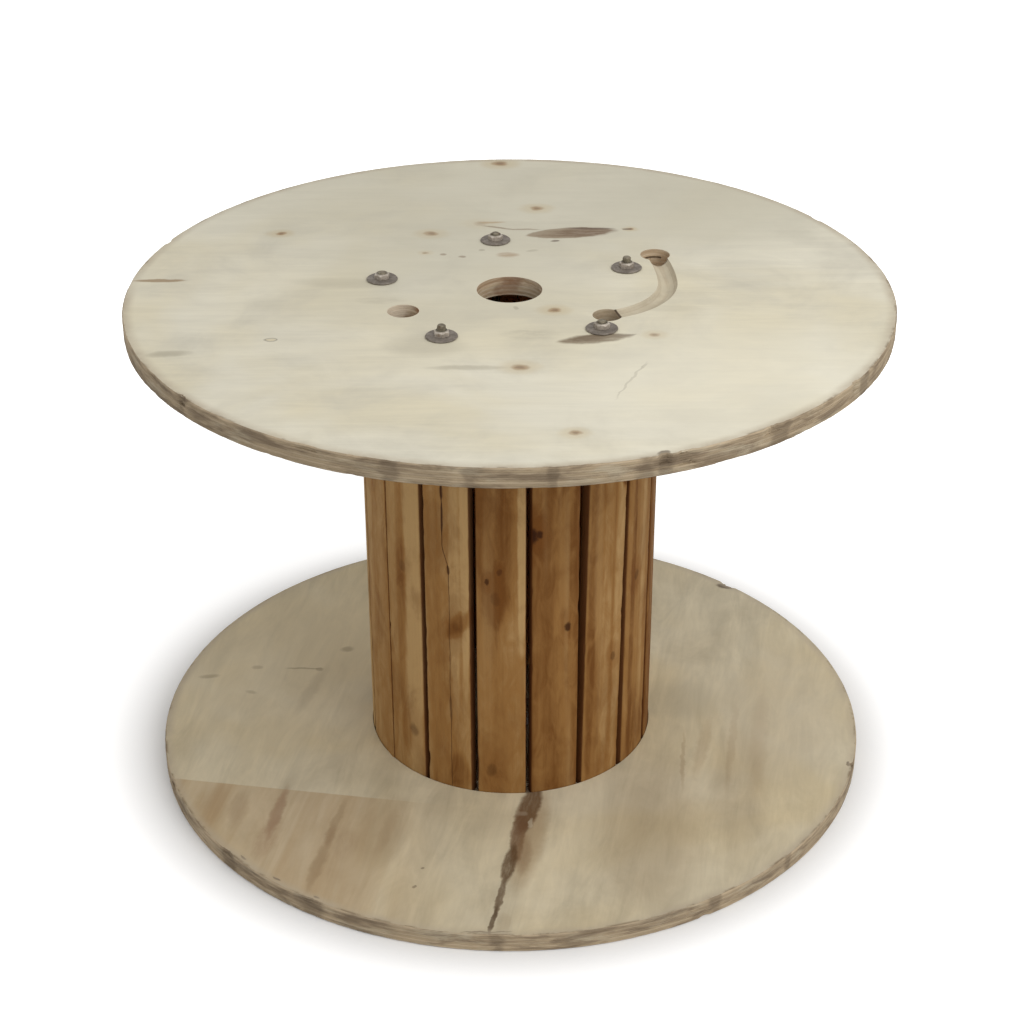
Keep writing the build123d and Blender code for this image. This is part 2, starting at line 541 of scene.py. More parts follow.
@dataclass(frozen=True)
class VeneerFinish:
    """Raw rotary-cut face veneer of a plywood panel."""

    name: str
    pale: Colour
    warm: Colour
    grey: Colour
    grain_turn: float
    marks: tuple[Mark, ...] = ()
    figure_depth: float = 0.16
    fibre_depth: float = 0.10
    mottle_depth: float = 0.30
    smudge_share: float = 0.35
    seed: float = 0.0
    joint: Optional[Joint] = None
    worn_rim: Colour = paint(182, 169, 147)
    worn_band: Place = (0.018, 0.002)
    rim_dirt: Colour = paint(122, 104, 80)
    dirt_band: Place = (0.006, 0.001)

    def material(self, effects: Effects) -> bpy.types.Material:
        """Build the material.

        Args:
            effects: Shader groups that the finishes share.

        Returns:
            The veneer's material.
        """
        g = Surface(self.name, effects)
        place = g.place()
        shifted = place + (self.seed, self.seed * 0.7, 0.0)
        along = g.turned(shifted, self.grain_turn)
        figure, fibre = g.grain(along, lengthwise=1.3, crosswise=17.0, wander=0.8)
        clouds = g.noise(shifted, scale=3.2, detail=3.0, rough=0.55, bend=0.5)
        colour = g.mix(g.smooth(clouds, 0.36, 0.66), self.pale, self.warm)
        smudges = g.grime(along, scale=7.0, share=self.smudge_share, softness=0.16)
        colour = g.mix(smudges * 0.55, colour, self.grey)
        rings = g.reckon("SINE", figure * 46.0)
        mottle = g.noise(along * (6.0, 24.0, 9.0), detail=5.0, rough=0.66, bend=0.7)
        tone = rings * 0.012 + 1.0 - (figure - 0.5) * self.figure_depth - (fibre - 0.5) * self.fibre_depth
        colour = g.shade(colour, tone + (mottle - 0.5) * self.mottle_depth)
        if self.joint:
            colour = self.draw_joint(g, self.joint, place, figure, colour)
        colour = self.wear_rim(g, place, self.draw_marks(g, place, colour))
        rough, relief = fibre * 0.16 + 0.66, figure * 0.5 + fibre
        return g.close(colour, rough, specular=0.25, relief=relief, depth=0.0004, strength=0.45)

    @staticmethod
    def draw_joint(g: Surface, joint: Joint, place: Value, figure: Value, colour: Value) -> Value:
        """Darken the strip of veneer in front of a joint, out to where it fades.

        Args:
            g: Graph to build in.
            joint: The joint's line and the strip's colour.
            place: Place on the face.
            figure: Broad grain, which makes the strip streaky.
            colour: Colour under the strip.

        Returns:
            Colour with the strip.
        """
        x, y, _ = g.split(place)
        ahead = g.smooth(x * joint.slope + joint.level * MM - y, -0.0006, 0.0012)
        fade = g.smooth(x, joint.fade_to * MM, joint.fade_from * MM)
        streak = g.smooth(figure, 0.25, 0.75, 0.45, 1.0)
        return g.mix(ahead * fade * streak * joint.strength, colour, joint.colour)

    def draw_marks(self, g: Surface, place: Value, colour: Value) -> Value:
        """Lay the face's marks over its colour.

        Args:
            g: Graph to build in.
            place: Place on the face.
            colour: Colour under the marks.

        Returns:
            Colour with the marks.
        """
        warped = place + g.ragged(place, scale=55.0, detail=3.0) * (0.012, 0.007, 0.0)
        strands = g.turned(warped, self.grain_turn) * (38.0, 190.0, 1.0)
        speck = g.smooth(g.noise(strands, detail=4.0, rough=0.7), 0.34, 0.6)
        for mark in self.marks:
            at, half = (mark.x, mark.y), (mark.half_length, mark.half_width)
            mask = g.mark(warped, at, half, mark.softness, mark.turn, mark.pointed, mark.strength)
            if mark.speckled:
                mask = mask * (speck * mark.speckled + (1.0 - mark.speckled))
            colour = g.mix(mask, colour, mark.colour)
        return colour

    def wear_rim(self, g: Surface, place: Value, colour: Value) -> Value:
        """Wear and soil the face along the panel's rim.

        Args:
            g: Graph to build in.
            place: Place on the face.
            colour: Colour of the face.

        Returns:
            Colour with its rim worn.
        """
        x, y, _ = g.split(place)
        inside = FLANGE_RADIUS - g.reckon("LENGTH", g.join(x, y))
        wear = g.grime(place, scale=14.0, share=0.5, softness=0.2) * 0.6 + 0.3
        colour = g.mix(g.smooth(inside, *self.worn_band) * wear, colour, self.worn_rim)
        dirt = g.grime(place, scale=26.0, share=0.36, softness=0.07) * 0.8 + 0.05
        return g.mix(g.smooth(inside, *self.dirt_band) * dirt, colour, self.rim_dirt)


@dataclass(frozen=True)
class StainAndShade:
    """A tint round a place in plan, used both for stains and for painted shade: full inside the start
    distance and gone at the end.
    """

    place: Place
    start: float
    end: float
    strength: float
    colour: Colour


@dataclass(frozen=True)
class PlyFinish:
    """Cut edge of the plywood, where its layers show."""

    name: str
    underside: float
    long_layer: Colour
    cross_layer: Colour
    glue: Colour
    dirt: Colour
    dirt_share: float
    ply: float = 0.003
    waviness: float = 0.0016
    line_depth: float = 0.7
    scuff: Colour = paint(186, 174, 150)
    scuff_share: float = 0.3
    tone_depth: float = 0.10
    streak_depth: float = 0.30
    streak_fineness: float = 220.0
    blotch_depth: float = 1.0
    lower_shade: float = 0.0
    crest: float = 0.0
    crest_band: Place = (0.006, 0.001)
    # Stains, and spots of painted shade, that the finish lists
    stains_and_shade: tuple[StainAndShade, ...] = ()

    def material(self, effects: Effects) -> bpy.types.Material:
        """Build the material of a cut edge.

        Args:
            effects: Shader groups that the finishes share.

        Returns:
            The edge's material.
        """
        g = Surface(self.name, effects)
        place = g.place()
        x, y, z = g.split(place)
        height = z - self.underside + (g.noise(place, scale=9.0) - 0.5) * self.waviness
        layers = g.group(effects.plies, {"Height": height, "Ply": self.ply})
        streaks = g.noise(place * (34.0, 34.0, self.streak_fineness), detail=4.0, rough=0.65)
        blotch = g.noise(place * (20.0, 20.0, 34.0), detail=4.0, rough=0.6) - 0.5
        tone = layers["Tone"] * self.tone_depth + (1.0 - self.tone_depth / 2)
        tone = tone + (streaks - 0.5) * self.streak_depth + blotch * self.blotch_depth
        tone = tone + g.smooth(height, 0.0, FLANGE_THICKNESS, -self.lower_shade, 0.0)
        start, end = (FLANGE_THICKNESS - below for below in self.crest_band)
        tone = tone + g.smooth(height, start, end, 0.0, self.crest)
        colour = g.shade(g.mix(layers["Crossed"], self.long_layer, self.cross_layer), tone)
        scuffed = g.grime(place * (1.0, 1.0, 4.0), scale=16.0, share=self.scuff_share, softness=0.1)
        colour = g.mix(scuffed * 0.6, colour, self.scuff)
        line = layers["Line"] * g.smooth(streaks, 0.3, 0.6)
        colour = g.mix(line * self.line_depth, colour, self.glue)
        smeared = g.grime(place * (1.0, 1.0, 6.0), scale=15.0, share=self.dirt_share, softness=0.12)
        colour = g.mix(smeared * 0.7, colour, self.dirt)
        plan = g.join(x, y)
        # Lay the listed stains and the spots of painted shade
        for stain in self.stains_and_shade:
            ragged = blotch * ((stain.end - stain.start) * 4.0)
            away = g.reckon("DISTANCE", plan, (*stain.place, 0.0)) + ragged
            colour = g.mix(g.smooth(away, stain.end, stain.start, 0.0, stain.strength), colour, stain.colour)
        rough, relief = streaks * 0.15 + 0.75, streaks - layers["Line"] * 0.6
        return g.close(colour, rough, specular=0.2, relief=relief, depth=0.0009, strength=0.5)


@dataclass(frozen=True)
class StaveKnot:
    """A knot on one stave: place across and up the board, and half its height, in millimetres."""

    stave: int
    across: float
    up: float
    size: float
    strength: float = 0.8


@dataclass(frozen=True)
class StaveStrip:
    """A paler or darker stretch of one stave, in millimetres across and up the board."""

    stave: int
    across: float
    up: float
    half_across: float
    half_up: float
    tone: float
    turn: float = 0.0
    pointed: float = 0.0


@dataclass(frozen=True)
class Crack:
    """A drying crack down one stave, in millimetres: its course across the board, and where it swings.

    Each swell is a level, half the height it takes and half the width it adds.
    """

    stave: int
    below: float
    above: float
    swing: float
    swing_low: float
    swing_mid: float
    swing_high: float
    swells: tuple[tuple[float, float, float], ...]


@dataclass(frozen=True)
class StaveFinish:
    """Rough brown softwood boards, read from each board's own place and tone attributes."""

    name: str
    dark: Colour
    middle: Colour
    light: Colour
    knots: tuple[StaveKnot, ...]
    strips: tuple[StaveStrip, ...]
    crack: Crack
    # Painted shade: the boards' sides, which face each other across the gaps, are darker than the wood
    edge: Colour = paint(92, 51, 25)
    side_shade_across: Place = (0.0326, 0.0343)
    side_shade_depth: Place = (0.0066, 0.0048)
    # Painted light: the boards' inner faces are paler than most of the wood, to lift the shade inside the
    # barrel
    inside: Colour = paint(196, 134, 82)
    inside_depth: Place = (-0.0084, -0.0098)
    knot_halo: Colour = paint(122, 74, 30)
    knot_core: Colour = paint(58, 29, 10)
    crack_shade: Colour = paint(58, 29, 11)

    def material(self, effects: Effects) -> bpy.types.Material:
        """Build the material of the boards.

        Args:
            effects: Shader groups that the finishes share.

        Returns:
            The boards' material.
        """
        g = Surface(self.name, effects)
        number, tone = (g.stored(name, "Fac") for name in ("board_number", "board_tone"))
        depth, across, up = g.split(g.stored("board_place", "Vector"))
        flat = g.join(across, up)
        ragged = g.ragged(g.join(across, up, number), scale=46.0, detail=5.0, rough=0.6)
        swirl, core = self.draw_knots(g, flat + ragged * (0.012, 0.018, 0.0), number)
        lane = number * 3.7 + across
        strand = g.join(up, lane + swirl * 0.011, depth)
        figure, fibre = g.grain(strand, lengthwise=1.6, crosswise=30.0, wander=0.5)
        rings = g.reckon("SINE", figure * 34.0 + swirl * 4.0)
        band = g.noise(g.join(lane * 26.0, up * 2.6, number), detail=3.0, rough=0.55, bend=0.6)
        blot = g.noise(g.join(lane * 45.0, up * 14.0, number), detail=4.0, rough=0.6, bend=1.2)
        mellow = rings * 0.02 + figure * 0.45 + band * 0.5 + (blot - 0.5) * 0.6 - swirl * 0.12
        mellow = mellow + tone * 0.8 + (0.12 - 0.4)
        mellow = mellow + self.draw_strips(g, flat + ragged * (0.003, 0.018, 0.0), number)
        colour = g.mix(g.smooth(mellow, 0.1, 0.55), self.dark, self.middle)
        colour = g.mix(g.smooth(mellow, 0.5, 1.0), colour, self.light)
        sapwood = g.smooth(g.noise(g.join(lane * 34.0, up * 1.4, number)), 0.52, 0.7)
        colour = g.mix(sapwood * 0.35, colour, self.light)
        colour = g.shade(colour, (fibre - 0.5) * -0.16 + 1.0)
        dirt = g.grime(g.join(lane * 2.0, up, number), scale=9.0, share=0.35, softness=0.1)
        colour = g.mix(dirt * 0.35, colour, self.dark)
        colour = g.mix(g.held(swirl * 0.22), colour, self.knot_halo)
        colour = g.mix(core, colour, self.knot_core)
        # Painted shade on the boards' sides in the gaps
        side = g.smooth(abs(across), *self.side_shade_across) * g.smooth(depth, *self.side_shade_depth, 0.25, 0.85)
        colour = g.mix(side, colour, self.edge)
        # Painted light on the boards' inner faces
        colour = g.mix(g.smooth(depth, *self.inside_depth), colour, self.inside)
        split = self.draw_crack(g, across, up) * g.only(number, self.crack.stave)
        colour = g.mix(split, colour, self.crack_shade)
        rough, relief = fibre * 0.2 + 0.62, fibre * 0.7 + rings * 0.15 - split * 1.6
        return g.close(colour, rough, specular=0.1, relief=relief, depth=0.0009, strength=0.6)

    def draw_strips(self, g: Surface, flat: Value, number: Value) -> Feed:
        """Add up the strips of the seen boards.

        Args:
            g: Graph to build in.
            flat: Place across and up the board.
            number: The board's number.

        Returns:
            How much paler the board is, below 0 where it is darker.
        """
        total: Feed = 0.0
        for strip in self.strips:
            at, half = (strip.across, strip.up), (strip.half_across, strip.half_up)
            mask = g.mark(flat, at, half, softness=0.7, turn=strip.turn, pointed=strip.pointed)
            total = mask * (g.only(number, strip.stave) * strip.tone) + total
        return total

    def draw_knots(self, g: Surface, flat: Value, number: Value) -> tuple[Feed, Feed]:
        """Add the knots of the boards.

        Args:
            g: Graph to build in.
            flat: Place across and up the board.
            number: The board's number.

        Returns:
            How far the grain swirls, and the dark cores.
        """
        swirl: Feed = 0.0
        core: Feed = 0.0
        for item in self.knots:
            at, size, mine = (item.across, item.up), item.size, g.only(number, item.stave)
            swirl = g.mark(flat, at, (size * 1.6, size * 3.4), softness=0.95) * mine + swirl
            spot = g.mark(flat, at, (size * 0.62, size * 0.9), softness=0.75) * (mine * item.strength)
            core = g.reckon("MAXIMUM", core, spot)
        return swirl, core

    def draw_crack(self, g: Surface, across: Value, up: Value) -> Value:
        """Draw a long drying crack.

        Args:
            g: Graph to build in.
            across: Place across the board.
            up: Place up the board.

        Returns:
            Mask of the crack.
        """
        crack = self.crack
        low, middle, high = crack.swing_low * MM, crack.swing_mid * MM, crack.swing_high * MM
        wander = g.noise(g.join(0.0, up * 14.0, 3.0), detail=3.0, rough=0.6) - 0.5
        course = wander * 0.004 + crack.below * MM
        course = course + g.smooth(up, low, middle, 0.0, (crack.swing - crack.below) * MM)
        course = course + g.smooth(up, middle, high, 0.0, (crack.above - crack.swing) * MM)
        thick = g.noise(g.join(0.0, 0.0, up), scale=30.0) * 0.0012 + 0.0003
        for level, half_up, half_width in crack.swells:
            off = abs(up - level * MM)
            thick = thick + g.smooth(off, half_up * MM, half_up * MM / 3, 0.0, half_width * MM)
        return g.smooth(abs(across - course), thick, 0.0) * g.smooth(up, low, middle, 0.7, 1.0)


@dataclass(frozen=True)
class SteelFinish:
    """Weathered plated steel, with painted shade on its faces above a level."""

    name: str
    plate: Colour
    dull: Colour
    rust: Colour
    metal: float
    gloss: float
    rust_share: float
    top_shade: Colour = paint(112, 104, 88)
    shade_above: float = 10.0

    def material(self, effects: Effects) -> bpy.types.Material:
        """Build the steel's material.

        Args:
            effects: Shader groups that the finishes share.

        Returns:
            The steel's material.
        """
        g = Surface(self.name, effects)
        place = g.place()
        cloud = g.grime(place, scale=130.0, share=0.5, softness=0.2)
        rust = g.grime(place, scale=210.0, share=self.rust_share, softness=0.1)
        colour = g.mix(rust * 0.7, g.mix(cloud, self.plate, self.dull), self.rust)
        level = g.split(place)[2]
        # Painted shade on the faces above the level: on the nut, its top face is darker than its sides
        shaded_top = g.smooth(level, self.shade_above - 0.001, self.shade_above + 0.0005, 0.0, 0.85)
        colour = g.mix(shaded_top, colour, self.top_shade)
        g.feed(g.shader.inputs["Metallic"], rust * (-0.6 * self.metal) + self.metal)
        pits = g.noise(place, scale=900.0, detail=3.0)
        rough = cloud * 0.18 + (1.0 - self.gloss)
        return g.close(colour, rough, specular=0.5, relief=pits, depth=0.0002, strength=0.3)


class Side(Enum):
    """Face of a flange."""

    UPPER = 0
    LOWER = 1
    EDGE = 2
    CHANNEL = 3
    BORE = 4


def plain_object(name: str, mesh: bpy.types.Mesh) -> bpy.types.Object:
    """Put a mesh into the scene.

    Args:
        name: Name of the object.
        mesh: Its mesh.

    Returns:
        The object, at the origin.
    """
    made = bpy.data.objects.new(name, mesh)
    bpy.context.scene.collection.objects.link(made)
    return made


def settle(item: bpy.types.Object) -> None:
    """Turn an object with modifiers into a plain mesh without them.

    Args:
        item: The object.
    """
    graph = bpy.context.evaluated_depsgraph_get()
    mesh = bpy.data.meshes.new_from_object(item.evaluated_get(graph))
    old = item.data
    item.modifiers.clear()
    item.data = mesh
    mesh.name = item.name
    bpy.data.meshes.remove(old)


def soften(item: bpy.types.Object, angle: float) -> None:
    """Shade an object smooth, with its edges sharp past an angle."""
    item.data.polygons.foreach_set("use_smooth", [True] * len(item.data.polygons))
    item.data.set_sharp_from_angle(angle=math.radians(angle))


def enlist(item: bpy.types.Object, slot: str, *nodes: str) -> None:
    """Hang a finished piece on the drum's body and report it.

    Args:
        item: The piece.
        slot: Material slot of the record; not used.
        nodes: Solids that it stands for.
    """
    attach(item, BODY)
    if nodes:
        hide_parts(*nodes)
    LOG.info("%s: %d faces", item.name, len(item.data.polygons))


def circle(
    radius: float, level: float, sides: int, centre: Place = (0.0, 0.0), turn: float = 0.0
) -> list[Point]:
    """Level ring of points round a place in plan, turned by degrees."""
    spots = [polar(radius, turn + 360 * i / sides) for i in range(sides)]
    return [(centre[0] + x, centre[1] + y, level) for x, y in spots]


@dataclass
class Shell:
    """Closed shapes of one mesh, skinned from loops of points."""

    verts: list[Point] = field(default_factory=list)
    faces: list[list[int]] = field(default_factory=list)

    def skin(self, loops: Sequence[Sequence[Point]], closed: bool = False) -> None:
        """Skin a row of loops.

        Args:
            loops: Loops of the same number of points.
            closed: True to join the last loop to the first, False to cap both ends.
        """
        first, count, rows = len(self.verts), len(loops[0]), len(loops)
        for loop in loops:
            self.verts.extend(loop)
        for row in range(rows if closed else rows - 1):
            a, b = first + row * count, first + (row + 1) % rows * count
            for i in range(count):
                j = (i + 1) % count
                self.faces.append([a + i, a + j, b + j, b + i])
        if not closed:
            self.faces.append([first + i for i in reversed(range(count))])
            self.faces.append([first + (rows - 1) * count + i for i in range(count)])

    def item(self, name: str, *finishes: bpy.types.Material) -> bpy.types.Object:
        """Make an object of the shapes, with their faces turned outwards.

        Args:
            name: Name of the object.
            finishes: Its materials.

        Returns:
            The object.
        """
        mesh = bpy.data.meshes.new(name)
        mesh.from_pydata(self.verts, [], self.faces)
        for finish in finishes:
            mesh.materials.append(finish)
        shaped = bmesh.new()
        shaped.from_mesh(mesh)
        bmesh.ops.recalc_face_normals(shaped, faces=shaped.faces)
        shaped.to_mesh(mesh)
        shaped.free()
        return plain_object(name, mesh)


@dataclass
class Cutter(Shell):
    """Closed tool shapes that are taken out of a panel, with the finish of the faces they leave."""

    side: Side = Side.BORE

    def drill(
        self, at: Place, radius: float, levels: tuple[float, float], sides: int, turn: float = 0.0
    ) -> None:
        """Add a straight hole with a number of sides, turned by degrees."""
        self.skin([circle(radius, level, sides, at, turn) for level in levels])

    def carve(self, panel: bpy.types.Object) -> None:
        """Take the shapes out of a panel and settle the panel's mesh.

        Args:
            panel: The panel.
        """
        tool = self.item("tool", *panel.data.materials)
        mesh = tool.data
        mesh.polygons.foreach_set("material_index", [self.side.value] * len(mesh.polygons))
        cut = panel.modifiers.new("carve", "BOOLEAN")
        cut.operation = "DIFFERENCE"
        cut.solver = "EXACT"
        cut.material_mode = "INDEX"
        cut.object = tool
        settle(panel)
        bpy.data.objects.remove(tool)
        bpy.data.meshes.remove(mesh)


@dataclass(frozen=True)
class Chip:
    """A piece broken out of a rim: its angle, its width and depth in millimetres, and the plies it takes."""

    angle: float
    width: float
    depth: float
    first_ply: int
    last_ply: int


@dataclass
class Flange:
    """A round plywood panel with a worn rim, its holes and, on the upper one, the cable start."""

    name: str
    underside: float
    seat_levels: tuple[float, float]
    finishes: dict[Side, bpy.types.Material]
    chips: tuple[Chip, ...]
    seed: float
    fray: float
    cable_start: bool = False
    bolt_recess: float = 0.0
    plies: int = 9
    segments: int = 1080
    easing: float = 0.0014
    glue_gap: float = 0.00006
    ply_rounding: float = 0.0003
    ply_inset: float = 0.0001
    spindle_radius: float = 0.045
    drive_radius: float = 0.0215
    drive_place: Place = polar(0.160, 206.8)
    bolt_radius: float = 0.0065
    recess_radius: float = 0.018
    neck_hole: float = 0.014
    neck_height: float = 0.007
    neck_overlap: float = 0.001
    seat_inner: float = 0.189
    seat_outer: float = 0.211
    seat_sides: int = 180
    spindle_sides: int = 128
    hole_sides: int = 72
    bolt_hole_sides: int = 32
    recess_sides: int = 56
    outer_hole: Place = polar(0.2415, 31.0)
    outer_hole_radius: float = 0.021
    inner_hole: Place = polar(0.157, -33.7)
    inner_hole_radius: float = 0.020
    channel_bend: Place = polar(0.2203, 7.3)
    channel_width: float = 0.027
    channel_depth: float = 0.009
    channel_steps: int = 28
    channel_sides: int = 40
    void_across: tuple[float, float] = (-0.0134, 0.0101)
    void_below: tuple[float, float] = (0.0141, 0.0108)
    void_reach: float = 0.007
    sharp_angle: float = 32.0

    @property
    def top(self) -> float:
        """Height of the upper face."""
        return self.underside + FLANGE_THICKNESS

    def rim_cut(self, angle: float, ply: int) -> float:
        """How far the rim of one ply lies inside the panel's full radius.

        Args:
            angle: Place round the rim.
            ply: Number of the ply, from 0 at the underside.

        Returns:
            Depth in metres.
        """
        x, y = polar(1.0, angle)

        def grit(scale: float, layer: float) -> float:
            """Noise round the rim, at a fineness and in a layer of its own."""
            return noise.noise(Vector((x * scale, y * scale, layer + self.seed)))

        rough = grit(38, ply * 3.1) * 0.5 + grit(110, ply * 5.7) * 0.3
        layer = 0.15 + 0.06 * (ply % 2) + 0.1 * noise.noise(Vector((ply * 1.7, self.seed, 0.5)))
        cut = max(0.0, layer + rough * 0.55)
        if ply in (0, self.plies - 1):
            torn = grit(9, ply) + 0.5 * grit(60, 0.0)
            front = 0.35 + 0.65 * max(0.0, -y) ** 2
            cut += max(0.0, torn - 0.12) * 5.0 * self.fray * front
        for chip in self.chips:
            if chip.first_ply <= ply <= chip.last_ply:
                off = math.radians(math.remainder(angle - chip.angle, 360)) * FLANGE_RADIUS / MM
                edge = 1.0 - (off / (chip.width / 2)) ** 2
                jag = 0.7 + 0.6 * noise.noise(Vector((off * 0.35, ply * 2.0, self.seed)))
                cut += chip.depth * max(0.0, edge) ** 0.6 * jag
        return cut * MM

    def blank(self) -> bpy.types.Object:
        """Build the panel before it is drilled, with its plies stepped and chipped at the rim.

        Returns:
            The blank panel.
        """
        ply = FLANGE_THICKNESS / self.plies
        face = (0.0, self.easing, self.easing)
        glued = (self.glue_gap, self.ply_rounding, self.ply_inset)
        turns = [360 * i / self.segments for i in range(self.segments)]
        loops: list[list[Point]] = []
        for k in range(self.plies):
            low, high = self.underside + k * ply, self.underside + (k + 1) * ply
            start, rise, foot = face if k == 0 else glued
            end, fall, head = face if k == self.plies - 1 else glued
            radii = [FLANGE_RADIUS - self.rim_cut(a, k) for a in turns]
            for z, inset in ((low + start, foot), (low + rise, 0.0), (high - fall, 0.0), (high - end, head)):
                loops.append([(*polar(r - inset, a), z) for r, a in zip(radii, turns)])
        shell = Shell()
        shell.skin(loops)
        panel = shell.item(self.name, *[self.finishes.get(side, self.finishes[Side.EDGE]) for side in Side])
        sides = [Side.EDGE.value] * (len(shell.faces) - 2) + [Side.LOWER.value, Side.UPPER.value]
        panel.data.polygons.foreach_set("material_index", sides)
        return panel

    def build(self) -> None:
        """Build the panel, drill and groove it, and hang it on the drum."""
        panel = self.blank()
        through = (self.underside - CUTTER_CLEARANCE, self.top + CUTTER_CLEARANCE)
        holes = [((0.0, 0.0), self.spindle_radius, self.spindle_sides)]
        holes.append((self.drive_place, self.drive_radius, self.hole_sides))
        holes += [(place, self.bolt_radius, self.bolt_hole_sides) for place in BOLT_PLACES]
        if self.cable_start:
            holes.append((self.outer_hole, self.outer_hole_radius, self.hole_sides))
            holes.append((self.inner_hole, self.inner_hole_radius, self.hole_sides))
        drills = Cutter()
        for place, radius, sides in holes:
            drills.drill(place, radius, through, sides)
        drills.carve(panel)
        low, high = self.seat_levels
        inner, outer = self.seat_inner, self.seat_outer
        section = ((inner, low), (outer, low), (outer, high), (inner, high))
        seat = Cutter()
        seat.skin([circle(radius, level, self.seat_sides) for radius, level in section], closed=True)
        seat.carve(panel)
        if self.bolt_recess:
            self.sink_heads(panel)
        if self.cable_start:
            self.route_channel(panel)
            self.open_void(panel)
        soften(panel, self.sharp_angle)
        enlist(panel, "plywood", self.name)

    def sink_heads(self, panel: bpy.types.Object) -> None:
        """Cut the recesses and the square neck holes of the bolts.

        Args:
            panel: The drilled panel.
        """
        floor = self.underside + self.bolt_recess
        recesses, necks = Cutter(), Cutter()
        for place, turn in zip(BOLT_PLACES, BOLT_TURNS):
            levels = (self.underside - CUTTER_CLEARANCE, floor)
            recesses.drill(place, self.recess_radius, levels, self.recess_sides)
            levels = (floor - self.neck_overlap, floor + self.neck_height)
            necks.drill(place, self.neck_hole / math.sqrt(2), levels, 4, 45 + turn)
        recesses.carve(panel)
        necks.carve(panel)

    def route_channel(self, panel: bpy.types.Object) -> None:
        """Scoop the cable channel: two arcs that meet at the bend, cut with a round section.

        Args:
            panel: The drilled panel.
        """
        cutter = (self.channel_width**2 / 4 + self.channel_depth**2) / (2 * self.channel_depth)
        section = circle(cutter, 0.0, self.channel_sides)
        level = self.top + cutter - self.channel_depth
        bend = Vector(self.channel_bend)
        loops: list[list[Point]] = []
        for hole, sign in ((self.outer_hole, 1.0), (self.inner_hole, -1.0)):
            chord = Vector(hole) - bend
            reach = chord.length_squared / (-2 * chord.x)
            middle = bend - Vector((reach, 0.0))
            sweep = sign * math.degrees((Vector(hole) - middle).angle(Vector((1.0, 0.0))))
            part = []
            for step in range(self.channel_steps + 1):
                angle = sweep * step / self.channel_steps
                spots = [(*polar(reach - across, angle), level + up) for across, up, _ in section]
                part.append([(middle.x + x, middle.y + y, z) for x, y, z in spots])
            loops = loops + part[1:] if loops else part[::-1]
        tool = Cutter(side=Side.CHANNEL)
        tool.skin(loops)
        tool.carve(panel)

    def open_void(self, panel: bpy.types.Object) -> None:
        """Open the gap between two core veneers that the outer cable hole cuts through.

        Args:
            panel: The drilled panel.
        """
        x, y = self.outer_hole
        left, right = x + self.void_across[0], x + self.void_across[1]
        near, far = y + self.outer_hole_radius / 2, y + self.outer_hole_radius + self.void_reach
        plan = [(left, near), (right, near), (right, far), (left, far)]
        gap = Cutter()
        gap.skin([[(px, py, self.top - depth) for px, py in plan] for depth in self.void_below])
        gap.carve(panel)


class Sprout(Recipe):
    """Geometry Nodes tree under construction, which ends in one material."""

    def __init__(self, name: str, inputs: dict[str, str]) -> None:
        """Start a tree with named inputs, and a Finish input for the material."""
        kinds = {"Geometry": "Geometry", **inputs, "Finish": "Material"}
        super().__init__(name, kinds, {"Geometry": "Geometry"}, "GeometryNodeTree")

    def finish(self, geometry: Value) -> "Sprout":
        """Realize what was made, give it the Finish input's material and put it out.

        Args:
            geometry: What was made.

        Returns:
            This tree, ready to grow.
        """
        real = self.wire("GeometryNodeRealizeInstances", {0: geometry})
        dressed = {"Geometry": real, "Material": self.given["Finish"]}
        self.put(Geometry=self.wire("GeometryNodeSetMaterial", dressed))
        return self

    def grow(self, name: str, values: dict[str, Any]) -> bpy.types.Object:
        """Run the tree on a new object and turn the result into a plain mesh.

        Args:
            name: Name of the object.
            values: Input values by name.

        Returns:
            The finished object.
        """
        item = plain_object(name, bpy.data.meshes.new(name))
        run = item.modifiers.new("grow", "NODES")
        run.node_group = self.tree
        for key, value in values.items():
            run[self.ids[key]] = value
        settle(item)
        return item


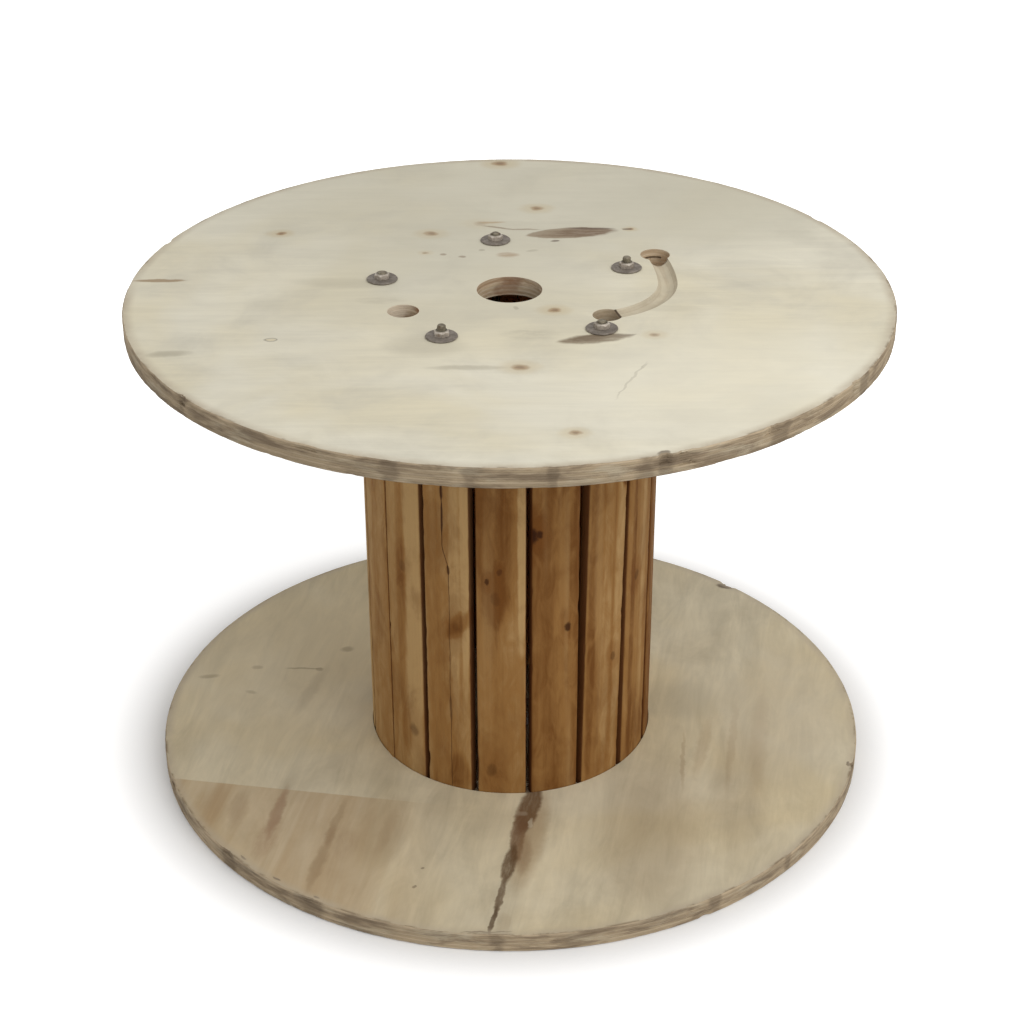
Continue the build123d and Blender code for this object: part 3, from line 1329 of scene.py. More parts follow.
@dataclass
class Barrel:
    """The ring of upright staves between the flanges."""

    finish: bpy.types.Material
    tones: dict[int, float]
    shifts: dict[int, float]
    flares: dict[int, float]
    count: int = 17
    width: float = 0.0685
    thickness: float = 0.020
    length: float = 0.684
    foot: float = 0.020
    edge_radius: float = 0.002
    ripple: float = 0.0007
    nicks: float = 0.0022
    start_angle: float = -72.4
    leaning: int = 2
    lean: float = 0.0100
    lean_fade: float = 0.0024
    section_points: int = 96
    path_points: int = 84
    sharp_angle: float = 40.0

    def tree(self) -> Sprout:
        """Geometry Nodes tree of one stave: a crowned section run up the board, with sawn, nicked faces.

        Returns:
            The tree, ready to grow.
        """
        names = ("Width", "Thickness", "Length", "Radius", "Edge Radius", "Lean", "Turn", "Foot", "Number")
        g = Sprout("stave", floats(*names, "Tone", "Ripple", "Nicks", "Flare"))
        given = g.given
        width, thickness, length, radius = (given[name] for name in names[:4])
        number = given["Number"]
        place = g.wire("GeometryNodeInputPosition", {})
        depth, across, up = g.split(place)
        outward = depth / thickness
        outer = g.held(outward + 0.5)
        section = g.wire("GeometryNodeCurvePrimitiveQuadrilateral", {0: thickness, 1: width})
        rounded = {"Curve": section, "Radius": given["Edge Radius"], "Count": 3}
        section = g.wire("GeometryNodeFilletCurve", rounded, mode="POLY")
        section = g.wire("GeometryNodeResampleCurve", {"Curve": section, "Count": self.section_points})
        crown = across * across / (radius * -2.0) * outer
        section = g.wire("GeometryNodeSetPosition", {"Geometry": section, "Offset": g.join(crown)})
        path = g.wire("GeometryNodeCurvePrimitiveLine", {"Start": (0, 0, 0), "End": g.join(0.0, 0.0, length)})
        path = g.wire("GeometryNodeResampleCurve", {"Curve": path, "Count": self.path_points})
        swept = {"Curve": path, "Profile Curve": section, "Fill Caps": True}
        board = g.wire("GeometryNodeCurveToMesh", swept)
        kept = {"board_place": (place, "FLOAT_VECTOR")}
        kept.update({"board_number": (number, "FLOAT"), "board_tone": (given["Tone"], "FLOAT")})
        for key, (value, kind) in kept.items():
            feeds = {"Geometry": board, "Name": key, "Value": value}
            board = g.wire("GeometryNodeStoreNamedAttribute", feeds, data_type=kind, domain="POINT")
        own = place + g.join(number, number * 0.37)
        saw = (g.noise(own * (70.0, 70.0, 9.0), detail=3.0) - 0.5) * given["Ripple"]
        arris = g.smooth(abs(across) / width, 0.44, 0.5) * g.smooth(outward, 0.1, 0.35)
        nick = g.smooth(g.noise(own * (60.0, 60.0, 38.0), detail=3.0, rough=0.6), 0.52, 0.75) * arris
        ends = g.smooth(up, 0.0, 0.004) * g.smooth(length - up, 0.0, 0.004)
        push = g.wire("GeometryNodeInputNormal", {}) * (saw - nick * given["Nicks"]) * g.join(ends, ends)
        tilt = given["Lean"] * (up / length - 0.5)
        flare = g.smooth(across, 0.0, width * 0.5, 0.0, given["Flare"]) * outer
        shift = push + g.join(0.0, tilt + flare)
        board = g.wire("GeometryNodeSetPosition", {"Geometry": board, "Offset": shift})
        stand = g.join(radius - thickness * 0.5, 0.0, given["Foot"])
        board = g.wire("GeometryNodeTransform", {"Geometry": board, "Translation": stand})
        turn = g.join(0.0, 0.0, given["Turn"])
        return g.finish(g.wire("GeometryNodeTransform", {"Geometry": board, "Rotation": turn}))

    def build(self) -> None:
        """Grow every stave and hang it on the drum."""
        tree = self.tree()
        same = {"Width": self.width, "Thickness": self.thickness, "Length": self.length, "Foot": self.foot}
        same.update({"Radius": BARREL_RADIUS, "Edge Radius": self.edge_radius, "Ripple": self.ripple})
        same.update({"Nicks": self.nicks, "Finish": self.finish})
        for number in range(1, self.count + 1):
            pushed = number - self.leaning
            lean = max(0.0, self.lean - pushed * self.lean_fade) if pushed >= 0 else 0.0
            aside = (lean / 2 + self.shifts.get(number, 0.0)) / BARREL_RADIUS
            turn = math.radians(self.start_angle + (number - 1) * 360 / self.count) + aside
            tone = self.tones.get(number, 0.5 + 0.5 * math.sin(number * 2.4 + 1.0))
            own = {"Lean": lean, "Turn": turn, "Tone": tone, "Flare": self.flares.get(number, 0.0)}
            name = f"stave_{number:02d}"
            board = tree.grow(f"{name}_board", {**same, **own, "Number": float(number)})
            soften(board, self.sharp_angle)
            enlist(board, "stave_wood", name)


@dataclass
class TieBolts:
    """The tie bolts with their threads, nuts and washers."""

    bolt_finish: bpy.types.Material
    nut_finish: bpy.types.Material
    washer_finish: bpy.types.Material
    standouts: tuple[float, ...] = (0.0068, 0.0020, 0.0010, 0.0068, 0.0024)
    radius: float = 0.006
    core_radius: float = 0.0052
    ridge: float = 0.00078
    pitch: float = 0.00175
    thread_length: float = 0.040
    thread_start: float = 0.001
    end_chamfer: float = 0.0008
    bolt_sides: int = 40
    head_low: float = 0.0005
    head_top: float = 0.007
    head_radius: float = 0.014
    dome_angles: Sequence[int] = range(0, 91, 10)
    pole_weld: float = 0.000001
    neck: float = 0.0134
    neck_height: float = 0.007
    washer_low: float = 0.724
    washer_height: float = 0.003
    washer_radius: float = 0.0215
    washer_hole: float = 0.0065
    washer_edge: float = 0.0012
    washer_dish: float = 0.0004
    washer_sides: int = 64
    nut_top: float = 0.7345
    nut_flats: float = 0.019
    nut_height: float = 0.0075
    nut_hole: float = 0.0061
    nut_sink: float = 0.0009
    nut_chamfer: float = 40.0
    nut_crown: float = 0.0074
    nut_sides: int = 96
    bolt_sharp_angle: float = 35.0
    washer_sharp_angle: float = 30.0
    nut_sharp_angle: float = 24.0

    def thread_tree(self) -> Sprout:
        """Geometry Nodes tree of a rolled thread: a ridge run along a spiral.

        Returns:
            The tree, ready to grow.
        """
        g = Sprout("thread", {**floats("Core", "Ridge", "Turns", "Height"), "Start": "Vector"})
        given = g.given
        coil = {"Resolution": 36, "Rotations": given["Turns"], "Height": given["Height"]}
        coil.update({"Start Radius": given["Core"], "End Radius": given["Core"]})
        spiral = g.wire("GeometryNodeCurveSpiral", coil)
        ridge = g.wire("GeometryNodeCurvePrimitiveCircle", {"Resolution": 4, "Radius": given["Ridge"]})
        swept = {"Curve": spiral, "Profile Curve": ridge, "Fill Caps": True}
        thread = g.wire("GeometryNodeCurveToMesh", swept)
        return g.finish(g.wire("GeometryNodeTransform", {"Geometry": thread, "Translation": given["Start"]}))

    def bolt(self, number: int, place: Place, turn: float, thread_tree: Sprout) -> None:
        """Turn one bolt: domed head, square neck, shank and thread.

        Args:
            number: Number of the bolt.
            place: Its axis in plan.
            turn: How far its square neck is turned.
            thread_tree: Tree that grows its thread.
        """
        top = self.nut_top + self.standouts[number - 1]
        start = top - self.thread_length
        rise = self.head_top - self.head_low
        profile = []
        for angle in self.dome_angles:
            sunk, out = polar(1.0, angle)
            profile.append((self.head_radius * out, self.head_low + rise * (1 - sunk)))
        profile += [(self.radius, self.head_top), (self.radius, start)]
        profile += [(self.core_radius, start + self.thread_start), (self.core_radius, top - self.end_chamfer)]
        profile.append((self.core_radius - self.end_chamfer * 0.7, top))
        shell = Shell()
        shell.skin([circle(radius, level, self.bolt_sides, place) for radius, level in profile])
        item = shell.item(f"tie_bolt_{number}_turned", self.bolt_finish)
        height = self.thread_length - self.end_chamfer
        values = {"Core": self.core_radius, "Ridge": self.ridge, "Turns": height / self.pitch}
        values.update({"Height": height, "Start": (*place, start), "Finish": self.bolt_finish})
        thread = thread_tree.grow("thread", values)
        spin = Matrix.Translation((*place, self.head_top + self.neck_height / 2))
        spin = spin @ Matrix.Rotation(math.radians(turn), 4, "Z")
        size = Matrix.Diagonal((self.neck, self.neck, self.neck_height, 1.0))
        joined = bmesh.new()
        joined.from_mesh(item.data)
        bmesh.ops.remove_doubles(joined, verts=joined.verts, dist=self.pole_weld)
        joined.from_mesh(thread.data)
        bmesh.ops.create_cube(joined, size=1.0, matrix=spin @ size)
        bmesh.ops.recalc_face_normals(joined, faces=joined.faces)
        joined.to_mesh(item.data)
        joined.free()
        bpy.data.objects.remove(thread)
        soften(item, self.bolt_sharp_angle)
        enlist(item, "bolt_steel", f"tie_bolt_{number}")

    def washer(self, number: int, place: Place) -> None:
        """Press one round washer, with its edges eased and its rim a little bent.

        Args:
            number: Number of the bolt.
            place: Its axis in plan.
        """
        hole, rim, edge = self.washer_hole, self.washer_radius, self.washer_edge
        low, high = self.washer_low, self.washer_low + self.washer_height
        section = [(hole, low), (rim - edge, low), (rim, low + edge), (rim, high - edge), (rim - edge, high)]
        section += [(hole + edge, high), (hole, high - edge)]
        loops = []
        for radius, level in section:
            bent = max(0.0, level - low - edge) * self.washer_dish / self.washer_height * radius / rim
            loop = []
            for i, (x, y, z) in enumerate(circle(radius, level, self.washer_sides, place)):
                wave = math.sin(4 * math.pi * i / self.washer_sides + number)
                loop.append((x, y, z - bent * (1 + wave)))
            loops.append(loop)
        shell = Shell()
        shell.skin(loops, closed=True)
        item = shell.item(f"nut_washer_{number}_pressed", self.washer_finish)
        soften(item, self.washer_sharp_angle)
        enlist(item, "washer_steel", f"nut_washer_{number}")

    def nut(self, number: int, place: Place, turn: float) -> None:
        """Cut one hexagon nut: flats, the chamfer that rounds its corners off, and its countersunk hole.

        Args:
            number: Number of the bolt.
            place: Its axis in plan.
            turn: How far it is turned.
        """
        high = self.nut_top
        low = high - self.nut_height
        fall = math.tan(math.radians(self.nut_chamfer))
        turns = [360 * i / self.nut_sides for i in range(self.nut_sides)]
        flats = [self.nut_flats / 2 / math.cos(math.radians((a + 30) % 60 - 30)) for a in turns]
        hole, lip, crown = (
            [radius] * self.nut_sides
            for radius in (self.nut_hole, self.nut_hole + self.nut_sink, self.nut_crown)
        )
        section = [(hole, low), (flats, low), (flats, high), (crown, high), (lip, high)]
        section.append((hole, high - self.nut_sink))
        loops = []
        for radii, level in section:
            loop = []
            for angle, radius in zip(turns, radii):
                x, y = polar(radius, angle + turn)
                cone = high - max(0.0, radius - self.nut_crown) * fall
                loop.append((place[0] + x, place[1] + y, min(level, cone)))
            loops.append(loop)
        shell = Shell()
        shell.skin(loops, closed=True)
        item = shell.item(f"nut_{number}_cut", self.nut_finish)
        soften(item, self.nut_sharp_angle)
        enlist(item, "nut_steel", f"nut_{number}")

    def build(self) -> None:
        """Build every bolt with its thread, washer and nut."""
        thread_tree = self.thread_tree()
        for number, (place, turn) in enumerate(zip(BOLT_PLACES, BOLT_TURNS), start=1):
            self.bolt(number, place, turn, thread_tree)
            self.washer(number, place)
            self.nut(number, place, turn)


@dataclass
class Splinters:
    """Slivers of veneer that stand off a flange's rim, and wood fibres at the edges of a stave gap."""

    finish: bpy.types.Material
    fibre_finish: bpy.types.Material
    rim_radius: float = 0.5215
    gap_radius: float = 0.2065

    def tree(self) -> Sprout:
        """Geometry Nodes tree that scatters slivers along an arc, between two levels.

        Returns:
            The tree, ready to grow.
        """
        names = ("Radius", "Level", "Top", "Turn", "Length", "Thickness", "Spread", "Sweep", "Roll")
        g = Sprout("slivers", {**floats(*names), "Count": "Int", "Seed": "Int"})
        given = g.given
        sweep, spread = given["Sweep"], given["Spread"]

        def chance(low: Feed, high: Feed, salt: int) -> Value:
            """A random value for each sliver."""
            feeds = {2: low, 3: high, "Seed": given["Seed"] + float(salt)}
            return g.wire("FunctionNodeRandomValue", feeds, 1, data_type="FLOAT")

        cone = {"Vertices": 5, "Radius Top": 0.0, "Radius Bottom": given["Thickness"]}
        cone["Depth"] = given["Length"]
        rolled = {"Geometry": g.wire("GeometryNodeMeshCone", cone), "Rotation": g.join(0.0, given["Roll"])}
        sliver = g.wire("GeometryNodeTransform", rolled)
        around = given["Turn"] + chance(-sweep, sweep, 1)
        level = given["Level"] + chance(0.0, 1.0, 2) * (given["Top"] - given["Level"])
        reach = given["Radius"] + chance(-0.0015, 0.001, 3)
        spot = g.join(reach * g.reckon("COSINE", around), reach * g.reckon("SINE", around), level)
        points = g.wire("GeometryNodePoints", {"Count": given["Count"]})
        points = g.wire("GeometryNodeSetPosition", {"Geometry": points, "Position": spot})
        facing = g.join(chance(-spread, spread, 4), chance(-spread, spread, 5), around + math.pi / 2)
        size = chance(0.35, 1.0, 6)
        feeds = {"Points": points, "Instance": sliver, "Rotation": facing, "Scale": g.join(size, size, size)}
        return g.finish(g.wire("GeometryNodeInstanceOnPoints", feeds))

    def build(self) -> None:
        """Scatter the slivers and hang them on the drum."""
        tree = self.tree()
        rim = {"Radius": self.rim_radius, "Roll": math.pi / 2, "Thickness": 0.0007, "Spread": 0.12}
        rim["Finish"] = self.finish
        upper = {"Level": 0.7205, "Top": 0.7232, "Turn": math.radians(-95), "Sweep": 1.25, "Length": 0.016}
        lower = {"Level": 0.0235, "Top": 0.0262, "Turn": math.radians(-100), "Sweep": 1.3, "Length": 0.015}
        gap = {"Radius": self.gap_radius, "Roll": 0.0, "Thickness": 0.00035, "Spread": 0.7}
        gap["Finish"] = self.fibre_finish
        fibres = {"Level": 0.24, "Top": 0.34, "Turn": math.radians(-83.6), "Sweep": 0.014, "Length": 0.014}
        for name, slot, count, seed, values in (
            ("slivers_upper", "plywood", 45, 3, {**rim, **upper}),
            ("slivers_lower", "plywood", 16, 8, {**rim, **lower}),
            ("gap_fibres", "stave_wood", 12, 5, {**gap, **fibres}),
        ):
            enlist(tree.grow(name, {**values, "Count": count, "Seed": seed}), slot)


@dataclass
class Stage:
    """Pale floor, soft light and the camera at the photograph's place.

    Each lift of the floor's light is the distance where it starts, where it ends, and its size.
    """

    eye: Point = (0.0, -2.699947, 1.872896)
    down: float = 29.914
    roll_radians: float = -0.0027
    sensor_mm: float = 36.0
    focal_pixels: float = 2126.0
    frame_pixels: float = 1024.0
    centre_pixels: Place = (510.2, 545.44)
    floor_size: float = 14.0
    floor_level: float = -0.0004
    floor_colour: Colour = (0.86, 0.86, 0.86, 1.0)
    floor_lifts: tuple[Point, ...] = ((0.5, 0.64, 0.55), (0.55, 1.7, 0.4))
    sky_level: float = 0.63
    lamp_watts: float = 47.0
    lamp_size: float = 2.6
    lamp_place: Point = (1.5, -1.7, 2.7)
    lamp_aim: Point = (0.0, 0.0, 0.5)

    def build(self) -> None:
        """Set up the floor, the lights, the camera and the view."""
        self.lay_floor()
        self.hang_lights()
        self.set_camera()
        bpy.context.scene.view_settings.view_transform = "Standard"

    def lay_floor(self) -> None:
        """Lay a wide floor that looks white to the camera and keeps the drum's shadow."""
        half = self.floor_size / 2
        plan = ((-half, -half), (half, -half), (half, half), (-half, half))
        mesh = bpy.data.meshes.new("floor")
        mesh.from_pydata([(x, y, self.floor_level) for x, y in plan], [], [[0, 1, 2, 3]])
        floor = plain_object("floor", mesh)
        material = bpy.data.materials.new("floor_pale")
        material.use_nodes = True
        g = Graph(material.node_tree)
        shader = material.node_tree.nodes["Principled BSDF"]
        shader.inputs["Base Color"].default_value = self.floor_colour
        shader.inputs["Roughness"].default_value = 0.9
        shader.inputs["Specular IOR Level"].default_value = 0.0
        shader.inputs["Emission Color"].default_value = WHITE
        seen = g.wire("ShaderNodeLightPath", {}, "Is Camera Ray")
        away = g.reckon("LENGTH", g.wire("ShaderNodeTexCoord", {}, "Object"))
        lift: Feed = 0.0
        for start, end, size in self.floor_lifts:
            lift = g.smooth(away, start, end, 0.0, size) + lift
        g.feed(shader.inputs["Emission Strength"], seen * lift)
        mesh.materials.append(material)

    def hang_lights(self) -> None:
        """Hang a pale sky all round and a broad soft lamp above the seen side."""
        world = bpy.data.worlds.new("studio")
        bpy.context.scene.world = world
        world.use_nodes = True
        g = Graph(world.node_tree)
        back = world.node_tree.nodes["Background"]
        seen: Feed = 0.0
        for ray in ("Is Camera Ray", "Is Glossy Ray", "Is Transmission Ray"):
            seen = g.reckon("MAXIMUM", seen, g.wire("ShaderNodeLightPath", {}, ray))
        g.feed(back.inputs["Strength"], seen * (1.0 - self.sky_level) + self.sky_level)
        back.inputs["Color"].default_value = WHITE
        lamp = bpy.data.lights.new("overhead", "AREA")
        lamp.shape = "DISK"
        lamp.size = self.lamp_size
        lamp.energy = self.lamp_watts
        rig = bpy.data.objects.new("overhead", lamp)
        rig.location = self.lamp_place
        rig.rotation_euler = (Vector(self.lamp_aim) - rig.location).to_track_quat("-Z", "Y").to_euler()
        bpy.context.scene.collection.objects.link(rig)

    def set_camera(self) -> None:
        """Stand the camera where the photograph was taken."""
        lens = bpy.data.cameras.new("photo_camera")
        lens.sensor_width = self.sensor_mm
        lens.lens = self.focal_pixels / self.frame_pixels * self.sensor_mm
        lens.shift_x = (self.frame_pixels / 2 - self.centre_pixels[0]) / self.frame_pixels
        lens.shift_y = (self.centre_pixels[1] - self.frame_pixels / 2) / self.frame_pixels
        camera = bpy.data.objects.new("photo_camera", lens)
        camera.location = self.eye
        camera.rotation_euler = (math.radians(90 - self.down), 0.0, 0.0)
        camera.rotation_euler.rotate_axis("Z", self.roll_radians)
        bpy.context.scene.collection.objects.link(camera)
        bpy.context.scene.camera = camera


# Colours that several marks share
KNOT = paint(140, 98, 54)
KNOT_SHADE = paint(190, 168, 124)
PATCH = paint(118, 90, 66)
PATCH_EDGE = paint(96, 78, 66)
SMUDGE = paint(158, 150, 130)
# Greyer tone of the painted shade on the upper face
PAINTED_SHADE_GREY = paint(196, 190, 170)
DARK = paint(74, 56, 42)
BROWN = paint(136, 106, 74)
SMEAR = paint(138, 122, 98)
TAN = paint(150, 130, 100)
PALE = paint(196, 184, 160)


def knot(x: float, y: float, size: float, strength: float) -> list[Mark]:
    """Draw a knot with its paler halo.

    Args:
        x: Place in plan, millimetres.
        y: Place in plan, millimetres.
        size: Half its length, millimetres.
        strength: How dark it is, to 1.

    Returns:
        The halo, the knot and its core.
    """
    return [
        Mark(x, y, size * 1.8, size * 1.4, KNOT_SHADE, strength * 0.55, 0.0, 0.95),
        Mark(x, y, size * 0.75, size * 0.62, KNOT, strength, 0.0, 0.8, 0.0, 0.25),
        Mark(x, y, size * 0.36, size * 0.3, DARK, strength * 0.5, 0.0, 0.9),
    ]


def flat_marks() -> tuple[Mark, ...]:
    """List the marks of the upper face.

    Returns:
        Clouds of painted shade and a pool of painted light, knots, patches, stain marks and scratches, from
        the lowest to the uppermost.
    """
    marks = [
        # Painted shade: the face is greyer towards the back, the back right and the middle left, where less
        # light falls
        Mark(0, 330, 430, 240, PAINTED_SHADE_GREY, 0.55, 0.0, 0.95),
        Mark(-90, 20, 190, 150, PAINTED_SHADE_GREY, 0.4, 0.0, 0.95),
        Mark(330, 330, 190, 150, PAINTED_SHADE_GREY, 0.4, 0.0, 0.95),
    ]
    for x, y, size, strength in (
        (-332, 209, 10, 0.7), (-114, 207, 13, 0.5), (41, 307, 13, 0.6), (-14, 503, 16, 0.7),
        (60, -70, 12, 0.65), (13, -250, 14, 0.6), (78, -434, 10, 0.6), (190, -151, 9, 0.6),
        (177, 223, 6, 0.7), (-120, 134, 6, 0.4), (-42, 247, 14, 0.25),
    ):
        marks += knot(x, y, size, strength)
    marks += [
        Mark(88, 209, 64, 20, paint(152, 136, 114), 0.92, 9.0, 0.15, 0.45),
        Mark(110, 212, 44, 17, paint(126, 107, 90), 0.7, 9.0, 0.5, 0.5, 0.3),
        Mark(118, 226, 34, 3.6, PATCH_EDGE, 0.8, -2.0, 0.5, 0.6, 0.3),
        Mark(95, 207, 56, 16, paint(112, 88, 60), 0.5, 9.0, 0.5, 0.4, 1.0),
        Mark(-16, 230, 24, 2.6, PATCH, 0.55, -19.0, 0.6, 0.7),
        Mark(21, 223, 24, 2.4, PATCH, 0.5, 0.0, 0.6, 0.7),
        Mark(-26, 251, 18, 4, paint(172, 146, 114), 0.6, 0.0, 0.8),
        Mark(66, 178, 6, 3.2, PATCH_EDGE, 0.7, 8.0, 0.5),
        Mark(172, 223, 6, 3, PATCH_EDGE, 0.7, 0.0, 0.5),
        Mark(-2, 125, 15, 9, paint(164, 138, 110), 0.65, -4.0, 0.8, 0.0, 0.4),
        Mark(33, 140, 9, 4, SMUDGE, 0.35, 8.0, 0.8),
        Mark(-39, 144, 4, 4, SMUDGE, 0.5, 0.0, 0.7),
        # Brown patch in front of bolt 5's washer: a stain, with painted shadow of the washer in its darker
        # part next to the washer
        Mark(112, -163, 50, 14, paint(112, 92, 68), 0.88, 11.5, 0.35, 0.7, 0.25),
        Mark(104, -160, 26, 9, paint(104, 86, 66), 0.5, 11.5, 0.8),
        Mark(150, -152.5, 18, 3, paint(126, 112, 94), 0.7, 11.5, 0.5, 0.8),
        Mark(-485, 35, 36, 5, paint(146, 118, 84), 0.75, 0.0, 0.5),
        Mark(*polar(518, -69.7), 9, 5, DARK, 0.8, 20.0, 0.5),
        Mark(-311, -164, 8, 5, DARK, 0.55, 0.0, 0.4),
        Mark(-311, -164, 6, 3.4, paint(214, 204, 176), 0.9, 0.0, 0.3),
        Mark(152, -288, 54, 1.8, SMUDGE, 0.55, 68.0, 0.6),
        Mark(170, -248, 9, 2.5, SMUDGE, 0.6, 60.0, 0.6),
        Mark(-440, -207, 26, 9, SMUDGE, 0.5, 8.0, 0.9),
        Mark(-56, -251, 46, 7, SMUDGE, 0.4, 0.0, 0.9),
        Mark(-110, -185, 48, 30, SMUDGE, 0.3, 0.0, 0.95),
        Mark(-232, 25, 60, 16, SMUDGE, 0.25, -4.0, 0.95),
        Mark(214, -65, 40, 12, SMUDGE, 0.2, 0.0, 0.95),
        Mark(27, -149, 34, 16, SMUDGE, 0.3, 0.0, 0.9, 0.0, 0.7),
        Mark(-176, -36, 30, 12, SMUDGE, 0.25, 0.0, 0.9, 0.0, 0.7),
        # Painted light: a paler pool at the front right, where the light falls
        Mark(290, -290, 190, 150, paint(236, 230, 210), 0.45, 0.0, 0.95),
        Mark(8, -63, 4, 5, SMUDGE, 0.5, 0.0, 0.7),
        Mark(-94, 128, 5, 4, PATCH, 0.5, 0.0, 0.7),
        Mark(-67, 118, 6, 4, PATCH, 0.5, 0.0, 0.7),
    ]
    return tuple(marks)


def foot_marks() -> tuple[Mark, ...]:
    """List the marks of the lower flange's upper face.

    Returns:
        Bark streak, stain marks and chips, from the lowest to the uppermost.
    """
    marks = [
        Mark(-320, 150, 230, 200, paint(216, 202, 172), 0.4, 0.0, 0.95),
        Mark(28, -318, 104, 19, paint(146, 118, 82), 0.55, 80.0, 0.9, 0.2),
        Mark(26, -246, 60, 15, paint(96, 66, 36), 0.9, 78.0, 0.45, 0.0, 0.12),
        Mark(10, -312, 62, 11, paint(106, 76, 50), 0.86, 85.0, 0.45, 0.0, 0.15),
        Mark(18, -352, 44, 10, paint(134, 106, 74), 0.5, 85.0, 0.8, 0.2, 0.2),
        Mark(-3, -374, 44, 9.5, paint(90, 66, 40), 0.9, 81.0, 0.5, 0.0, 0.2),
        Mark(16, -259, 9, 5, PALE, 0.2, 4.0, 0.9),
        Mark(27, -282, 12, 3.6, PALE, 0.5, 83.0, 0.6),
        Mark(-16, -446, 46, 4.8, paint(100, 80, 58), 0.85, 82.0, 0.5, 0.1, 0.2),
        Mark(-24, -494, 32, 3.6, paint(94, 76, 56), 0.9, 81.0, 0.5, 0.1, 0.1),
        Mark(-9, -498, 18, 8, paint(150, 130, 104), 0.25, 90.0, 0.9),
        Mark(-334, -254, 58, 8, paint(140, 104, 76), 0.55, 82.0, 0.8, 0.2),
        Mark(-343, -316, 46, 15, paint(146, 112, 82), 0.36, 80.0, 0.95, 0.0, 0.4),
        Mark(-248, -276, 48, 6, paint(146, 124, 92), 0.45, 78.0, 0.85, 0.2),
        Mark(-266, -370, 58, 8, paint(142, 118, 86), 0.5, 79.0, 0.85, 0.2),
        Mark(-254, -308, 22, 7, BROWN, 0.3, 78.7, 0.95),
        Mark(-230, -331, 32, 14, BROWN, 0.22, 84.0, 0.95, 0.0, 0.4),
        Mark(-390, -246, 42, 12, BROWN, 0.3, 85.0, 0.9),
        Mark(-434, -240, 48, 22, paint(156, 126, 86), 0.3, 78.0, 0.95),
        Mark(-176, -300, 50, 9, BROWN, 0.2, 78.0, 0.9),
        Mark(-180, -300, 70, 34, paint(152, 128, 94), 0.35, 78.0, 0.95),
        Mark(330, -97, 100, 6, BROWN, 0.22, 81.0, 0.95),
        Mark(373, -75, 124, 12, BROWN, 0.24, 82.0, 0.95),
        Mark(255, -130, 64, 3, BROWN, 0.3, 85.0, 0.9),
        Mark(286, -97, 70, 9, BROWN, 0.24, 77.0, 0.95),
        Mark(-123, -382, 2.6, 2.6, DARK, 0.5, 0.0, 0.6),
        Mark(-131, -422, 3, 3, DARK, 0.5, 0.0, 0.6),
        Mark(-262, 176, 10, 7, SMEAR, 0.5, 8.0, 0.9),
        Mark(-327, 120, 26, 2.4, SMEAR, 0.5, 0.0, 0.8),
        Mark(-303, 118, 5, 6, SMEAR, 0.5, 40.0, 0.8),
        Mark(-401, 123, 8, 5, SMEAR, 0.35, 4.0, 0.9),
        Mark(-474, 98, 15, 6, SMEAR, 0.45, 8.0, 0.9),
        Mark(-403, 53, 5, 9, SMEAR, 0.35, 78.0, 0.9),
        Mark(-310, 60, 60, 10, SMEAR, 0.22, 74.0, 0.95),
        Mark(262, 30, 50, 60, SMUDGE, 0.3, 78.0, 0.95),
        Mark(200, -300, 150, 70, TAN, 0.4, 82.0, 0.95),
        Mark(420, 0, 150, 90, paint(202, 192, 172), 0.35, 80.0, 0.95),
        Mark(330, -200, 130, 40, TAN, 0.3, 84.0, 0.95),
        Mark(360, 368, 15, 7, DARK, 0.85, -20.0, 0.5, 0.3),
        Mark(498, -141, 3, 6, DARK, 0.85, 0.0, 0.5),
        Mark(-33, -517, 32, 1.6, DARK, 0.8, 0.0, 0.5),
    ]
    for angle, length in ((231.5, 11), (239.3, 8), (223.9, 9)):
        marks.append(Mark(*polar(516, angle), length * 0.7, 1.8, DARK, 0.8, angle + 90, 0.6, 0.4))
    return tuple(marks)


STAVE_KNOTS = (
    StaveKnot(1, -33, 432, 12, 1.0),
    StaveKnot(1, -24, 434, 7, 0.9),
    StaveKnot(1, 17, 281, 8, 0.9),
    StaveKnot(17, -8, 333, 11, 0.28),
    StaveKnot(17, -19, 361, 5, 0.8),
    StaveKnot(17, -1, 378, 5, 0.5),
    StaveKnot(17, -14, 45, 12, 0.38),
    StaveKnot(16, 14, 282, 8, 0.15),
    StaveKnot(15, 0, 352, 10, 0.3),
    StaveKnot(15, 15, 81, 13, 0.45),
    StaveKnot(2, 17, 206, 8, 0.45),
    StaveKnot(3, -10, 315, 9, 0.4),
    StaveKnot(5, 8, 420, 11, 0.7),
    StaveKnot(7, -12, 180, 12, 0.6),
    StaveKnot(9, 5, 500, 10, 0.7),
    StaveKnot(11, -6, 260, 13, 0.6),
    StaveKnot(12, 14, 560, 9, 0.7),
)

